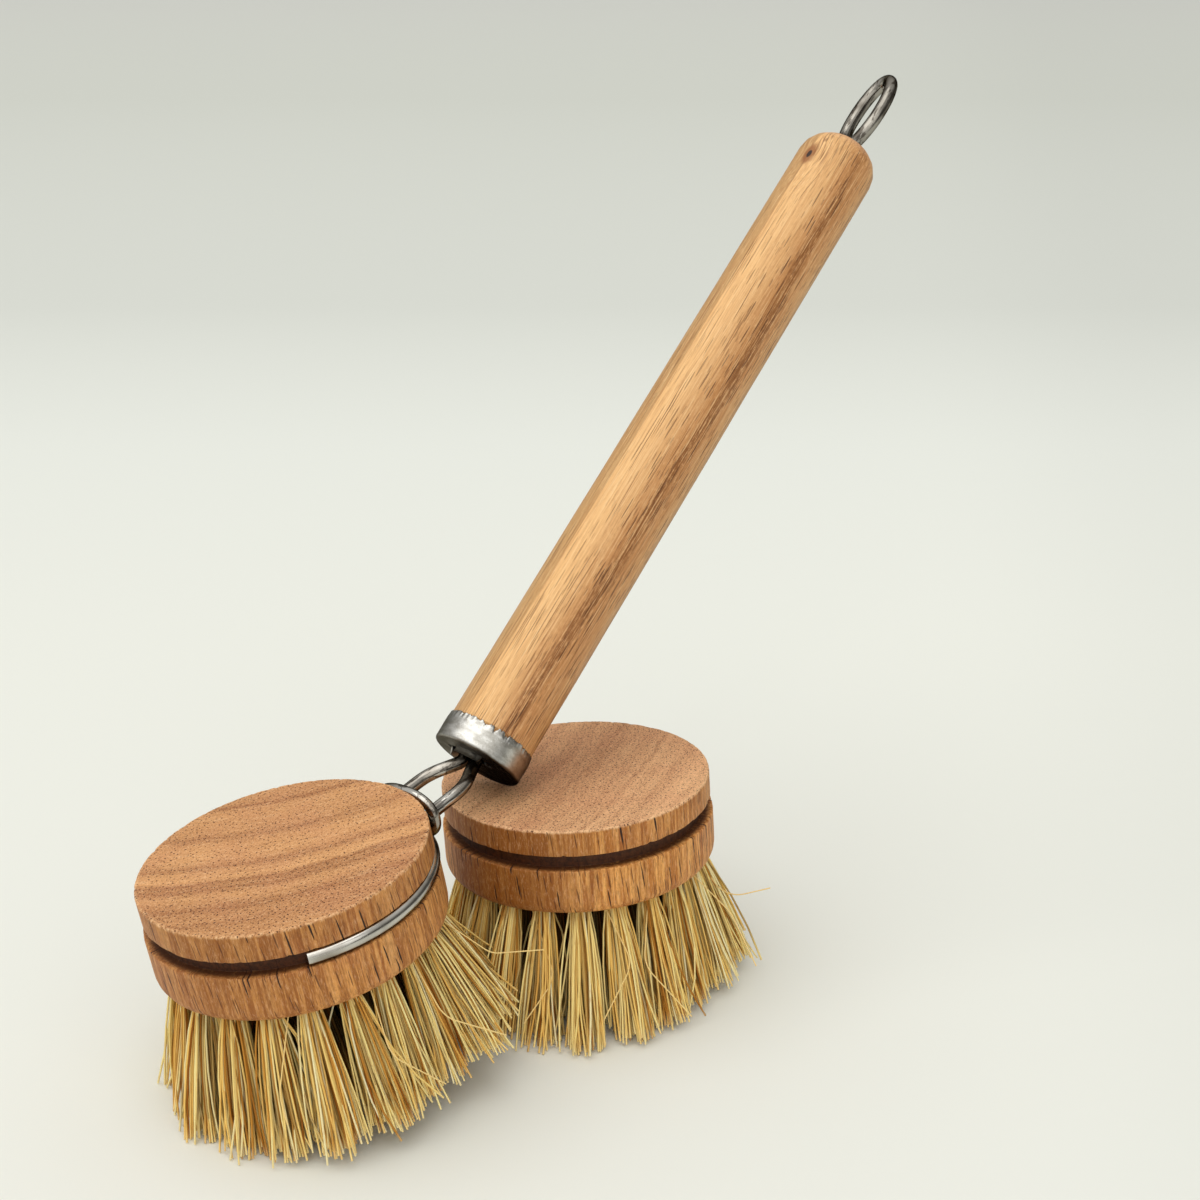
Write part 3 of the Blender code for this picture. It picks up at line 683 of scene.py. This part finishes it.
def tuft_centres(seed, worn):
    """A point for each tuft, with how far it spreads and which way it leans."""
    spots = []
    for radius, count in ((RING_RADIUS, RING_TUFTS), *INNER_RINGS):
        for step in range(count):
            angle = 360 * (step + (0.0 if radius == RING_RADIUS else INNER_TWIST * seed)) / count
            way = Vector((math.cos(math.radians(angle)), math.sin(math.radians(angle)), 0))
            reach = 1.0
            if radius == RING_RADIUS:
                reach += sum(
                    (1 - min(1, abs((angle - at + 180) % 360 - 180) / WORN_ANGLE)) * by for at, by in worn)
            sample = way * radius * 5.1
            lean = [noise.noise(sample + Vector((seed, turn, 0))) * TUFT_LEAN for turn in (0, 9)]
            spots.append((way * radius, reach, (*lean, 0)))
    mesh = bpy.data.meshes.new("tuft_centres")
    mesh.from_pydata([spot for spot, reach, lean in spots], [], [])
    reaches = mesh.attributes.new("reach", "FLOAT", "POINT").data
    reaches.foreach_set("value", [reach for spot, reach, lean in spots])
    leans = mesh.attributes.new("lean", "FLOAT_VECTOR", "POINT").data
    leans.foreach_set("vector", [part for spot, reach, lean in spots for part in lean])
    return mesh


def carried(recipe, name):
    """A value that the mesh carries to its material."""
    return recipe.add("ShaderNodeAttribute", {"attribute_name": name}).also("Fac")


def straw(name, place):
    """Straw-coloured fibre, no two quite the same, browner in places, with painted shade toward the root, in
    the middle of each tuft and on the inner rings.
    """
    made, recipe, spot = own_material(name, place)
    patch = grain(recipe, spot, (0.9, 0.9, 0.25), 2.0)
    along = carried(recipe, "along")
    # Painted shade in the middle of each tuft, near the root.
    tuft_core_shade = carried(recipe, "from_middle").eased(0.75, 0.45) * along.eased(1.0, 0.75)
    # Painted shade on the tufts of the inner rings, fading toward the tips.
    inner = (1 - carried(recipe, "outer")) * along.eased(1.0, 0.4)
    colour = recipe.ramp(
        carried(recipe, "tone"), (0.0, (150, 88, 30)), (0.08, (212, 152, 68)),
        (0.2, (250, 206, 116)), (0.5, (255, 225, 142)), (0.88, (255, 237, 168)),
        (1.0, (255, 246, 204)),
    )
    colour = recipe.coats(
        colour,
        (patch.eased(0.54, 0.74) * 0.35, (214, 150, 66)),
        # Painted shade toward the root.
        (along.eased(0.2, 0.0) * 0.3, (170, 112, 50)),
        (inner * 0.9, (70, 40, 16)),
        (tuft_core_shade * 0.6, (120, 64, 10)),
        (along.eased(0.9, 1.0) * 0.35, (244, 224, 176)),
    )
    rough = 0.36 + patch * 0.2
    shade(recipe, {"Specular IOR Level": 0.03}, colour, rough)
    return made


bristles = bristle_tree()
straws = {}
for name, place, seed, worn, body, tuft, inner in (
    ("head_bristles", head_place, 3, ((-38, 0.13), (-80, -0.07), (0, 0.07), (-140, -0.03)),
     "head", "head_tuft", "head_inner_bristles"),
    ("spare_bristles", spare_place, 8, ((12, 0.14), (-40, -0.06), (50, 0.06), (-92, 0.13), (-124, 0.05)),
     "spare_head", "spare_tuft", "spare_inner_bristles"),
):
    straws[body] = straw(name + "_straw", place)
    up = place.to_3x3().transposed() @ Vector((0, 0, 1))
    piece = grow(name, tuft_centres(seed, worn), bristles, {
        "Floor Normal": tuple(up), "Floor Height": place.translation.z * 1000, "Seed": seed * 100,
        "Material": straws[body]}, place)
    piece.data.shade_smooth()
    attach(piece, body)
    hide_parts(inner, *(f"{tuft}_{count:02d}" for count in range(1, RING_TUFTS + 1)))


# The handle: a turned rod of golden hardwood with a domed end, sanded but not varnished.
# The grain runs along it, with open slits, a broad brown streak and a small knot near
# the end; its other end is a tenon inside the ferrule.
HANDLE_RADIUS = 8.32
HANDLE_LENGTH = 150.5
EYE_CENTRE = 160.0
HANDLE_DOME = 5.6
HANDLE_STEPS = 128
TENON_RADIUS = 7.9
TENON_START = 0.8
FERRULE_LENGTH = 5.54
KNOT_PLACE = (-8.3, -0.2, 141.4)
STREAK_COURSE = ((0.0, 0.33), (0.09, 0.342), (0.22, 0.375), (0.29, 0.402), (0.46, 0.409),
                 (0.54, 0.447), (0.67, 0.447), (0.80, 0.415), (0.87, 0.428), (1.0, 0.40))


def handle_wood(name, place):
    """Long grain with pores as slits, a brown streak that wanders along it, a knot; painted light and shade
    round the rod, and painted shade on the tenon inside the ferrule.
    """
    made, recipe, spot = own_material(name, place)
    x, y, z = recipe.split(spot)
    knot = recipe.vector("SUBTRACT", spot, KNOT_PLACE)
    knot = recipe.vector("MULTIPLY", knot, (1.0, 1.0, 0.55))
    from_knot = recipe.vector("LENGTH", knot).also("Value")
    swirl = from_knot.eased(7.0, 0.0)
    turned_by = maths("ARCTAN2", y, x) * (180 / math.pi)
    warp = grain(recipe, spot, (0.10, 0.10, 0.012), 2.0)
    aside = maths("ARCTAN2", 0 - y, 0 - x) * HANDLE_RADIUS * (1 - swirl * 0.75) + (warp - 0.5) * 3
    push = recipe.joined(swirl * 1.2, swirl * 1.6 + (warp - 0.5) * 3, 0.0)
    pushed = recipe.vector("ADD", spot, push)
    broad = grain(recipe, pushed, (0.30, 0.30, 0.008), 3.0, 0.6)
    lines = grain(recipe, pushed, (1.7, 1.7, 0.02), 4.0, 0.65)
    hair = grain(recipe, pushed, (5.0, 5.0, 0.08), 3.0, 0.7)
    mottle = grain(recipe, pushed, (1.9, 1.9, 0.8), 4.0, 0.7)
    # Paler on one side: partly a lighter zone of the wood, partly painted light on the side that faces the
    # lamp.
    pale = (y * 0.28 - x * 0.96) / HANDLE_RADIUS + (lines - 0.5) * 0.5 + (broad - 0.5) * 0.5
    pale = pale.eased(0.1, 0.88)
    threads = pore_mask(recipe, aside, z, 0.46, 44.0, 0.18, 0.6, 1)
    slits = pore_mask(recipe, aside, z, 0.66, 15.0, 0.19, 0.5, 5)
    dashes = pore_mask(recipe, aside, z, 0.56, 5.6, 0.2, 0.5, 9)
    band_at = recipe.ramp(z / 150, *STREAK_COURSE)
    off_band = maths("ABSOLUTE", turned_by + 180 - band_at * 180 + (lines - 0.5) * 26)
    band = off_band.eased(12, 3) * (hair + (mottle - 0.5) * 0.5).eased(0.36, 0.56)
    band = band * z.eased(124, 142, 1.0, 0.5)
    blush = off_band.eased(30, 8)
    waves = maths("SINE", from_knot * 5.2 + lines * 12).eased(0.4, 0.95)
    waves = waves * aside.eased(0.2, 1.6) * z.eased(137.5, 140.5)
    halo = (from_knot + (mottle - 0.5) * 1.2).eased(1.9, 0.9)
    # Painted shade: the tenon goes near black where it sits inside the ferrule.
    inside = z.eased(2.4, 1.4)
    wood = recipe.coats(
        recipe.blend(pale, paint(208, 150, 94), paint(240, 188, 124)),
        # Painted light and shade by the angle round the rod: a lighter strip, darker beyond it.
        (turned_by.eased(-88, -76) * 0.35, (232, 182, 118)),
        (turned_by.eased(-74, -52) * 0.55, (160, 116, 64)),
        (blush * (1 - pale) * 0.3, (198, 134, 78)),
        (lines.eased(0.48, 0.64) * 0.34, (188, 128, 76)),
        (mottle.eased(0.5, 0.72) * (1 - pale * 0.6) * 0.4, (170, 110, 62)),
        (mottle.eased(0.48, 0.26) * 0.35, (252, 204, 146)),
        (hair.eased(0.5, 0.7) * 0.5, (160, 104, 54)),
        (hair.eased(0.5, 0.3) * 0.42, (255, 222, 170)),
        (band * 0.75, (120, 66, 20)),
        (threads * 0.75, (124, 74, 32)),
        (slits * (0.82 - 0.45 * pale), (88, 50, 20)),
        (dashes * (0.5 - 0.4 * pale), (104, 62, 28)),
        (waves * from_knot.eased(7.5, 2.0) * 0.65, (132, 80, 38)),
        (halo * 0.85, (146, 84, 32)),
        ((from_knot + (mottle - 0.5) * 0.6).eased(0.62, 0.4) * 0.97, (40, 18, 6)),
        (z.eased(146.5, 149.5) * 0.4, (244, 190, 150)),
        # Painted shade inside the ferrule.
        (inside * 0.95, (20, 14, 10)),
    )
    relief = (hair - 0.5) * 0.3 + (lines - 0.5) * 0.4 - slits - threads * 0.6 - dashes * 0.6
    rough = 0.44 + lines * 0.14 + slits * 0.1
    shade(recipe, {"Specular IOR Level": 0.4}, wood, rough, (relief, 0.55, 0.00018))
    return made


eye_mount = find(frame["record"]["mounts"], "eye")
rod = Vector(eye_mount["axis"]).normalized()
across = Vector(head_place.col[1][:3])
rod_start = Vector(eye_mount["pos_m"]) - rod * EYE_CENTRE / 1000
handle_place = stand(rod_start, rod, across.cross(rod))

corners = [(0, TENON_START, 0), (TENON_RADIUS, TENON_START, 0.2), (TENON_RADIUS, FERRULE_LENGTH - 0.6, 0.1),
           (HANDLE_RADIUS, FERRULE_LENGTH - 0.1, 0.1), (HANDLE_RADIUS, HANDLE_LENGTH, HANDLE_DOME),
           (0, HANDLE_LENGTH, 0)]
bm = lathe(list(reversed(rounded_outline(corners, spacing=2.2))), HANDLE_STEPS)
for vert in bm.verts:
    out = Vector((vert.co.x, vert.co.y, 0))
    vert.co += out * 0.006 * noise.noise(Vector((vert.co.x, vert.co.y, vert.co.z * 0.3)) * 0.2)
wood = handle_wood("golden_hardwood", handle_place)
piece = settle(bm, "handle_rod", handle_place, wood, sharp=50)
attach(piece, "handle")
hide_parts("handle")


# The ferrule: a cup pressed from thin tinned steel and pushed over the handle's end.
# Its edge is crimped into the wood, pleated on one side and torn on the other, and the
# two arms leave it through a slot whose edges are bent out as three small flaps.
FERRULE_RADIUS = 8.7
FERRULE_WALL = 0.45
SLOT_LENGTH = 7.6
SLOT_WIDTH = 4.6
SLOT_MIDDLE = (-2.15, 0.3)
SLOT_CUT = 2
FLAP_THICKNESS = 0.32
FLAP_FOLD = ((-0.3, 0.0), (0.1, 0.02), (0.5, 0.14), (0.9, 0.36), (1.2, 0.66))
FLAP_HOOK = ((-0.3, 0.0), (0.15, 0.05), (0.4, 0.3), (0.5, 0.75), (0.42, 1.3), (0.62, 1.75))
FERRULE_STEPS = 288
CRIMP_START = 3.6
PLEATS = 46
PLEATS_FACE = math.radians(160)
TEARS_FACE = math.radians(-130)
METAL = {"Metallic": 1.0, "Specular Tint": paint(110, 108, 104)}


def tinplate(name, place):
    """Dull tinned steel: smeared, dusty, scratched, grimy at its edge, with painted reflection and shade
    down its sides and on its closed end.
    """
    made, recipe, spot = own_material(name, place)
    x, y, z = recipe.split(spot)
    rightward = x * 0.73 - y * 0.684
    smear = grain(recipe, spot, (0.45, 0.45, 0.9), 3.0, 0.6)
    dust = grain(recipe, spot, (4.0, 4.0, 4.0), 3.0, 0.7)
    turned = recipe.add("ShaderNodeMapping", None, {
        "Vector": spot, "Rotation": (0.5, 0.9, 0.2), "Scale": (0.35, 9.0, 2.0)})
    scratch = recipe.cloud(turned, 1.0, 2.0, 0.4).eased(0.66, 0.72)
    near_edge = z.eased(FERRULE_LENGTH - 1.6, FERRULE_LENGTH)
    darkening = near_edge * smear.eased(0.4, 0.65)
    # Painted shade and dark reflection on the closed end face, darker toward the right.
    shaded = (rightward + (smear - 0.5) * 4).eased(-2.5, 2.5)
    end = z.eased(0.7, 0.1)
    metal = recipe.coats(
        recipe.blend(smear.eased(0.3, 0.7), paint(214, 212, 206), paint(170, 166, 158)),
        (darkening * 0.5, (96, 88, 78)),
        (scratch * 0.4, (250, 248, 244)),
        (dust.eased(0.5, 0.7) * 0.35, (120, 112, 102)),
        # Painted reflection: brownish on the right side, as of the wood; painted shade at the far left edge.
        (rightward.eased(3.5, 7.5) * 0.45, (128, 100, 80)),
        (rightward.eased(-5.0, -8.0) * 0.3, (120, 118, 112)),
        # Painted shade and dark reflection on the end face.
        (end * (0.25 + 0.6 * shaded), (44, 34, 27)),
    )
    rough = 0.24 + smear * 0.16 + scratch * 0.12
    relief = smear * 1.2 + dust * 0.3 - scratch * 0.4
    shade(recipe, METAL, metal, rough, (relief, 0.35, 0.00008))
    return made


def ferrule_edge(angle):
    """Height of the crimped edge round the handle: uneven, with torn bites."""
    way = Vector((math.cos(angle), math.sin(angle), 0))
    height = FERRULE_LENGTH + 0.22 * noise.noise(way * 2.3) + 0.12 * noise.noise(way * 9)
    facing = max(0.0, math.cos(angle - TEARS_FACE)) ** 3
    tear = max(0.0, noise.noise(way * 8 + Vector((3, 1, 0))) + 0.1) + 0.8 * max(0.0, noise.noise(way * 27))
    return height - facing * tear * 1.5


inner = FERRULE_RADIUS - FERRULE_WALL
outline = [(0, FERRULE_WALL), (inner, FERRULE_WALL), (inner, 1.6), (inner, 3.2), (inner, 4.2),
           (inner - 0.05, 4.8), (inner - 0.1, FERRULE_LENGTH)]
rim = rounded_outline([(inner, FERRULE_LENGTH, 0), (FERRULE_RADIUS - 0.12, FERRULE_LENGTH, 0.1),
                       (FERRULE_RADIUS, 4.4, 0.5), (FERRULE_RADIUS, 0, 0.5), (0, 0, 0)], spacing=0.45)
bm = lathe(outline + [tuple(point) for point in rim[1:]], FERRULE_STEPS)
for vert in bm.verts:
    radius = math.hypot(vert.co.x, vert.co.y)
    if radius < inner - 1:
        continue
    angle = math.atan2(vert.co.y, vert.co.x)
    upper = max(0.0, (vert.co.z - CRIMP_START) / (FERRULE_LENGTH - CRIMP_START))
    vert.co.z += (ferrule_edge(angle) - FERRULE_LENGTH) * upper
    way = Vector((vert.co.x, vert.co.y, 0)) / radius
    pleat = math.sin(angle * PLEATS + 2.2 * noise.noise(way * 4))
    pleated = upper ** 1.5 * (0.15 + 0.85 * max(0.0, math.cos(angle - PLEATS_FACE)) ** 2)
    dent = 0.05 * noise.noise(way * 3 + Vector((0, 0, vert.co.z * 0.4)))
    curl = 0.22 * upper ** 4 * max(0.0, noise.noise(way * 11))
    vert.co += way * (0.10 * pleat * pleated + dent + curl - 0.14 * upper ** 2)
piece = settle(bm, "ferrule_cup", handle_place, sharp=50)
bm = bmesh.new()
bmesh.ops.create_cube(bm, size=1, matrix=Matrix.Translation((*SLOT_MIDDLE, 0))
                      @ Matrix.Diagonal((SLOT_WIDTH, SLOT_LENGTH, SLOT_CUT, 1)))
cutter = settle(bm, "slot_cutter", handle_place)
cut = piece.modifiers.new("slot", "BOOLEAN")
cut.solver = "EXACT"
cut.object = cutter
mesh = bpy.data.meshes.new_from_object(piece.evaluated_get(bpy.context.evaluated_depsgraph_get()))
piece.modifiers.clear()
piece.data = mesh
bpy.data.objects.remove(cutter)
smooth(mesh, sharp=50)
tin = tinplate("satin_tinplate", handle_place)
mesh.materials.append(tin)
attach(piece, "handle")
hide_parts("ferrule")


def bent_flap(bm, hinge, along, away, width, bends, narrowing):
    """A strip of the cup's own metal, bent out of the slot's edge: rows of (out, away)."""
    rows = []
    for step, (out, aside) in enumerate(bends):
        for side in (-0.5, 0.5):
            taper = 1 - narrowing * step / len(bends)
            edge = hinge + along * side * width * taper + Vector((0, 0, -out)) + away * aside
            rows.append((edge - away * FLAP_THICKNESS / 2, edge + away * FLAP_THICKNESS / 2))
    verts = [[bm.verts.new(point) for point in pair] for pair in rows]
    for step in range(len(bends) - 1):
        left, right, far_left, far_right = verts[2 * step:2 * step + 4]
        bm.faces.new((left[0], right[0], far_right[0], far_left[0]))
        bm.faces.new((left[1], far_left[1], far_right[1], right[1]))
        bm.faces.new((left[0], far_left[0], far_left[1], left[1]))
        bm.faces.new((right[0], right[1], far_right[1], far_right[0]))
    for left, right in (verts[:2], verts[-2:]):
        bm.faces.new((left[0], left[1], right[1], right[0]))


bm = bmesh.new()
for hinge, along, away, width, bends, narrowing in (
    ((-4.3, -1.9, 0), (0.42, -0.91, 0), (-0.91, -0.42, 0), 5.4, FLAP_FOLD, 0.1),
    ((-1.9, 4.0, 0), (1, 0, 0), (0, 1, 0), 3.0, FLAP_FOLD[:4], 0.9),
    ((-0.7, -3.4, 0), (1, 0, 0), (0, -1, 0), 0.9, FLAP_HOOK, 0.55),
):
    bent_flap(bm, Vector(hinge), Vector(along).normalized(), Vector(away), width, bends, narrowing)
bmesh.ops.recalc_face_normals(bm, faces=bm.faces)
piece = settle(bm, "ferrule_flaps", handle_place, tin, sharp=60)
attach(piece, "handle")


# The two arms: polished spring steel wire. Each comes out of the ferrule's slot, runs
# beside the other and lies in the groove round its half of the head, where it ends in
# a square cut. Nothing but the link holds them together.
WIRE = 2.45
GROOVE_LEVEL = -6.27
ARM_RADIUS = 24.4
ARM_WRAP = 121
ARM_BEND = 3.5
NECK = 5.0
ARM_ROOT = 1.55
ARM_TANG = 6.0
EXIT_GAP = 0.15
NECK_BACK = 5.6
NECK_RISE = 1.7
LINK_RISE = 0.7
NECK_BENDS = [0.0, 2.2, 9.0, 2.0, 0.0]
HANDLE_RISE = math.radians(32.65)
FERRULE_END = Vector((42.8, 0, -3.1))


def wire_tree():
    """A round wire along a route of edges, bent to a radius at each of its corners."""
    recipe, chain = shape_recipe("bent_wire", {"Thickness": WIRE, "Sides": 24, "Material": None})
    route = recipe.add("GeometryNodeMeshToCurve", None, {"Mesh": chain})
    route = recipe.add("GeometryNodeFilletCurve", {"mode": "POLY"}, {
        "Curve": route, "Count": 12, "Radius": stored(recipe, "bend"), "Limit Radius": True})
    length = recipe.add("GeometryNodeSplineParameter").also("Length")
    route = store(recipe, route, "along", "FLOAT", length)
    return skinned(recipe, route, chain.also("Sides"), chain.also("Thickness"), chain.also("Material"))


def route_mesh(points, bends, closed=False):
    """The route as a chain of edges, with each corner's bend radius."""
    links = [(step, step + 1) for step in range(len(points) - 1)]
    if closed:
        links.append((len(points) - 1, 0))
    mesh = bpy.data.meshes.new("route")
    mesh.from_pydata(points, links, [])
    mesh.attributes.new("bend", "FLOAT", "POINT").data.foreach_set("value", bends)
    return mesh


def circle_part(centre, radius, start, end, count):
    """Points on part of a level circle, angles in degrees, both ends included."""
    angles = [math.radians(start + (end - start) * step / count) for step in range(count + 1)]
    return [(centre[0] + radius * math.cos(a), centre[1] + radius * math.sin(a)) for a in angles]


def polished_steel(name, place, along, tones, dark_end=0.0):
    """Bright drawn wire with streaks along it, dull marks and one end darker."""
    made, recipe, spot = own_material(name, place)
    mark = recipe.cloud(spot, 0.9, 3.0, 0.6)
    stain = recipe.cloud(spot, 0.18, 2.0, 0.5)
    streak = grain(recipe, spot, along, 3.0, 0.6)
    streaked = streak.eased(0.52, 0.6) * 0.75
    metal = recipe.blend(stain.eased(0.35, 0.7), *tones)
    if dark_end:
        reached = carried(recipe, "along")
        streaked = streaked * reached.eased(32, 20)
    metal = recipe.blend(streaked, metal, paint(58, 50, 42))
    if dark_end:
        # Darker toward the end that leaves the ferrule.
        darkening = (reached + (streak - 0.5) * 8).eased(dark_end, dark_end * 0.6)
        metal = recipe.blend(darkening * 0.85, metal, paint(44, 38, 32))
    rough = 0.13 + 0.12 * mark.eased(0.4, 0.75) + 0.06 * stain
    shade(recipe, METAL, metal, rough, (mark + streak, 0.12, 0.00005))
    return made


wires = wire_tree()
bright, dull = paint(200, 196, 188), paint(150, 143, 133)
arm_steel = polished_steel("arm_wire_steel", head_place, (0.12, 1.6, 1.6), (bright, dull), 11.0)
steel = polished_steel("link_wire_steel", head_place, (0.9, 0.9, 0.9), (bright, dull))
rise = Vector((math.cos(HANDLE_RISE), 0, math.sin(HANDLE_RISE)))
tang = FERRULE_END + rise * ARM_TANG
exit_point = FERRULE_END - rise * (WIRE / 2 + EXIT_GAP)
bend_reach = ARM_RADIUS + ARM_BEND
bend_centre = (math.sqrt(bend_reach ** 2 - (NECK + ARM_BEND) ** 2), NECK + ARM_BEND)
tangent = math.degrees(math.atan2(bend_centre[1], bend_centre[0]))
level = circle_part(bend_centre, ARM_BEND, -90, tangent - 180, 12)[1:]
level += circle_part((0, 0), ARM_RADIUS, tangent, ARM_WRAP, 60)[1:]
bends = NECK_BENDS + [0.0] * len(level)
for name, side, body, node in (("left_arm_wire", -1, "left_arm", "arm_left"),
                               ("right_arm_wire", 1, "right_arm", "arm_right")):
    route = [(tang.x, ARM_ROOT, tang.z), (exit_point.x, ARM_ROOT, exit_point.z),
             (exit_point.x - NECK_BACK, NECK, GROOVE_LEVEL + NECK_RISE),
             (bend_centre[0] + ARM_BEND / 2, NECK, GROOVE_LEVEL + LINK_RISE),
             (bend_centre[0], NECK, GROOVE_LEVEL)]
    route += [(x, y, GROOVE_LEVEL) for x, y in level]
    route = [(x, side * y, z) for x, y, z in route]
    piece = grow(name, route_mesh(route, bends), wires, {
        "Thickness": WIRE, "Material": arm_steel}, head_place)
    smooth(piece.data, sharp=50)
    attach(piece, body)
    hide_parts(node)


# The locking link: a flattened oval of thinner steel wire, welded shut, that slides along
# both arms. Pushed against the head it holds them in the groove; drawn back toward the
# ferrule it lets them spring open, and the head drops out.
LINK_WIRE = 1.9
LINK_HALF_LENGTH = 7.6
LINK_HALF_HEIGHT = 4.0
LINK_TILT = math.radians(2)
LINK_SQUARENESS = 2.25
LINK_LEVEL = GROOVE_LEVEL + 0.6
LINK_STEPS = 64


def squarish(share):
    """A cosine or sine pressed toward the corners of its oval."""
    return math.copysign(abs(share) ** (2 / LINK_SQUARENESS), share)


oval = []
for step in range(LINK_STEPS):
    angle = 2 * math.pi * step / LINK_STEPS
    wide = squarish(math.cos(angle)) * LINK_HALF_LENGTH
    tall = squarish(math.sin(angle)) * LINK_HALF_HEIGHT
    oval.append((bend_centre[0], wide, LINK_LEVEL + tall - wide * math.tan(LINK_TILT)))
piece = grow("link_ring", route_mesh(oval, [0.0] * LINK_STEPS, True), wires, {
    "Thickness": LINK_WIRE, "Material": steel}, head_place)
piece.data.shade_smooth()
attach(piece, "link")
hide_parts("locking_link")


# The hanging eye: one length of thick steel wire bent to a long oval, both of its legs
# driven side by side into the end of the handle.
EYE_WIRE = 2.75
EYE_HALF_WIDTH = 4.3
EYE_MIDDLE = 160.3
EYE_HALF_HEIGHT = 9.3
EYE_LEG = 1.35
EYE_FOOT_DEPTH = 6
EYE_BEND = 3.0
EYE_TURN = math.radians(73)

eye_steel = polished_steel(
    "eye_wire_steel", handle_place, (1.2, 1.2, 0.22), (paint(158, 153, 144), paint(98, 92, 84)))
stretch = EYE_HALF_HEIGHT / EYE_HALF_WIDTH
neck = HANDLE_LENGTH + 0.3
foot_x, foot_y = EYE_LEG, (neck - EYE_MIDDLE) / stretch
tangent = math.atan2(foot_y, foot_x) + math.acos(EYE_HALF_WIDTH / math.hypot(foot_x, foot_y))
tangent = math.degrees(tangent)
oval = circle_part((0, 0), EYE_HALF_WIDTH, tangent, 180 - tangent, 56)
foot = HANDLE_LENGTH - EYE_FOOT_DEPTH
flat = [(EYE_LEG, foot), (EYE_LEG, neck), *((x, EYE_MIDDLE + stretch * y) for x, y in oval),
        (-EYE_LEG, neck), (-EYE_LEG, foot)]
bends = [0.0, EYE_BEND, *([0.0] * len(oval)), EYE_BEND, 0.0]
route = [(wide * math.cos(EYE_TURN), wide * math.sin(EYE_TURN), tall) for wide, tall in flat]
piece = grow("eye_wire", route_mesh(route, bends), wires, {
    "Thickness": EYE_WIRE, "Material": eye_steel}, handle_place)
smooth(piece.data, sharp=50)
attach(piece, "handle")
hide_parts("hanging_eye")


# Single fibres that have come loose from the tufts: each is bent once and sticks out
# sideways between the others. They are the same straw as the bristles.
STRAYS = {
    "head": (((-14.5, -15.0, -16.0), (-21.5, -16.5, -29.0), (-23.3, -20.0, -32.0)),
             ((-19.5, 7.5, -16.0), (-25.5, 6.0, -28.0), (-30.5, 2.5, -33.5)),
             ((6.0, -20.5, -16.0), (5.0, -28.0, -26.0), (14.0, -31.5, -34.0)),
             ((16.0, -14.0, -16.0), (23.0, -20.0, -27.0), (32.5, -22.5, -31.0)),
             ((-3.0, -21.0, -16.0), (-6.0, -27.0, -27.0), (1.0, -30.0, -36.0))),
    "spare_head": (((20.7, 0.0, -16.5), (27.0, -1.5, -27.0), (35.5, -3.0, -24.5)),
                   ((19.0, -8.0, -16.0), (27.5, -11.0, -25.0), (31.5, -17.0, -33.0)),
                   ((4.0, -20.5, -16.0), (9.0, -26.0, -26.0), (2.5, -29.0, -37.0)),
                   ((-9.0, -19.5, -16.0), (-5.0, -26.5, -28.0), (-11.0, -29.5, -35.0)),
                   ((12.5, -17.0, -16.0), (11.0, -25.0, -27.0), (19.0, -27.5, -36.5))),
}
STRAY_THICKNESS = 0.24
STRAY_BEND = 5.0
STRAY_TONE = 0.3

for body, place in (("head", head_place), ("spare_head", spare_place)):
    fibres = bmesh.new()
    for route in STRAYS[body]:
        part = grow("fibre", route_mesh(route, [0.0, STRAY_BEND, 0.0]), wires, {
            "Thickness": STRAY_THICKNESS, "Sides": 5, "Material": straws[body]}, Matrix.Scale(1000, 4))
        fibres.from_mesh(part.data)
        bpy.data.objects.remove(part)
    piece = settle(fibres, body + "_strays", place, straws[body], sharp=60)
    tones = piece.data.attributes.new("tone", "FLOAT", "POINT").data
    tones.foreach_set("value", [STRAY_TONE] * len(tones))
    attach(piece, body)
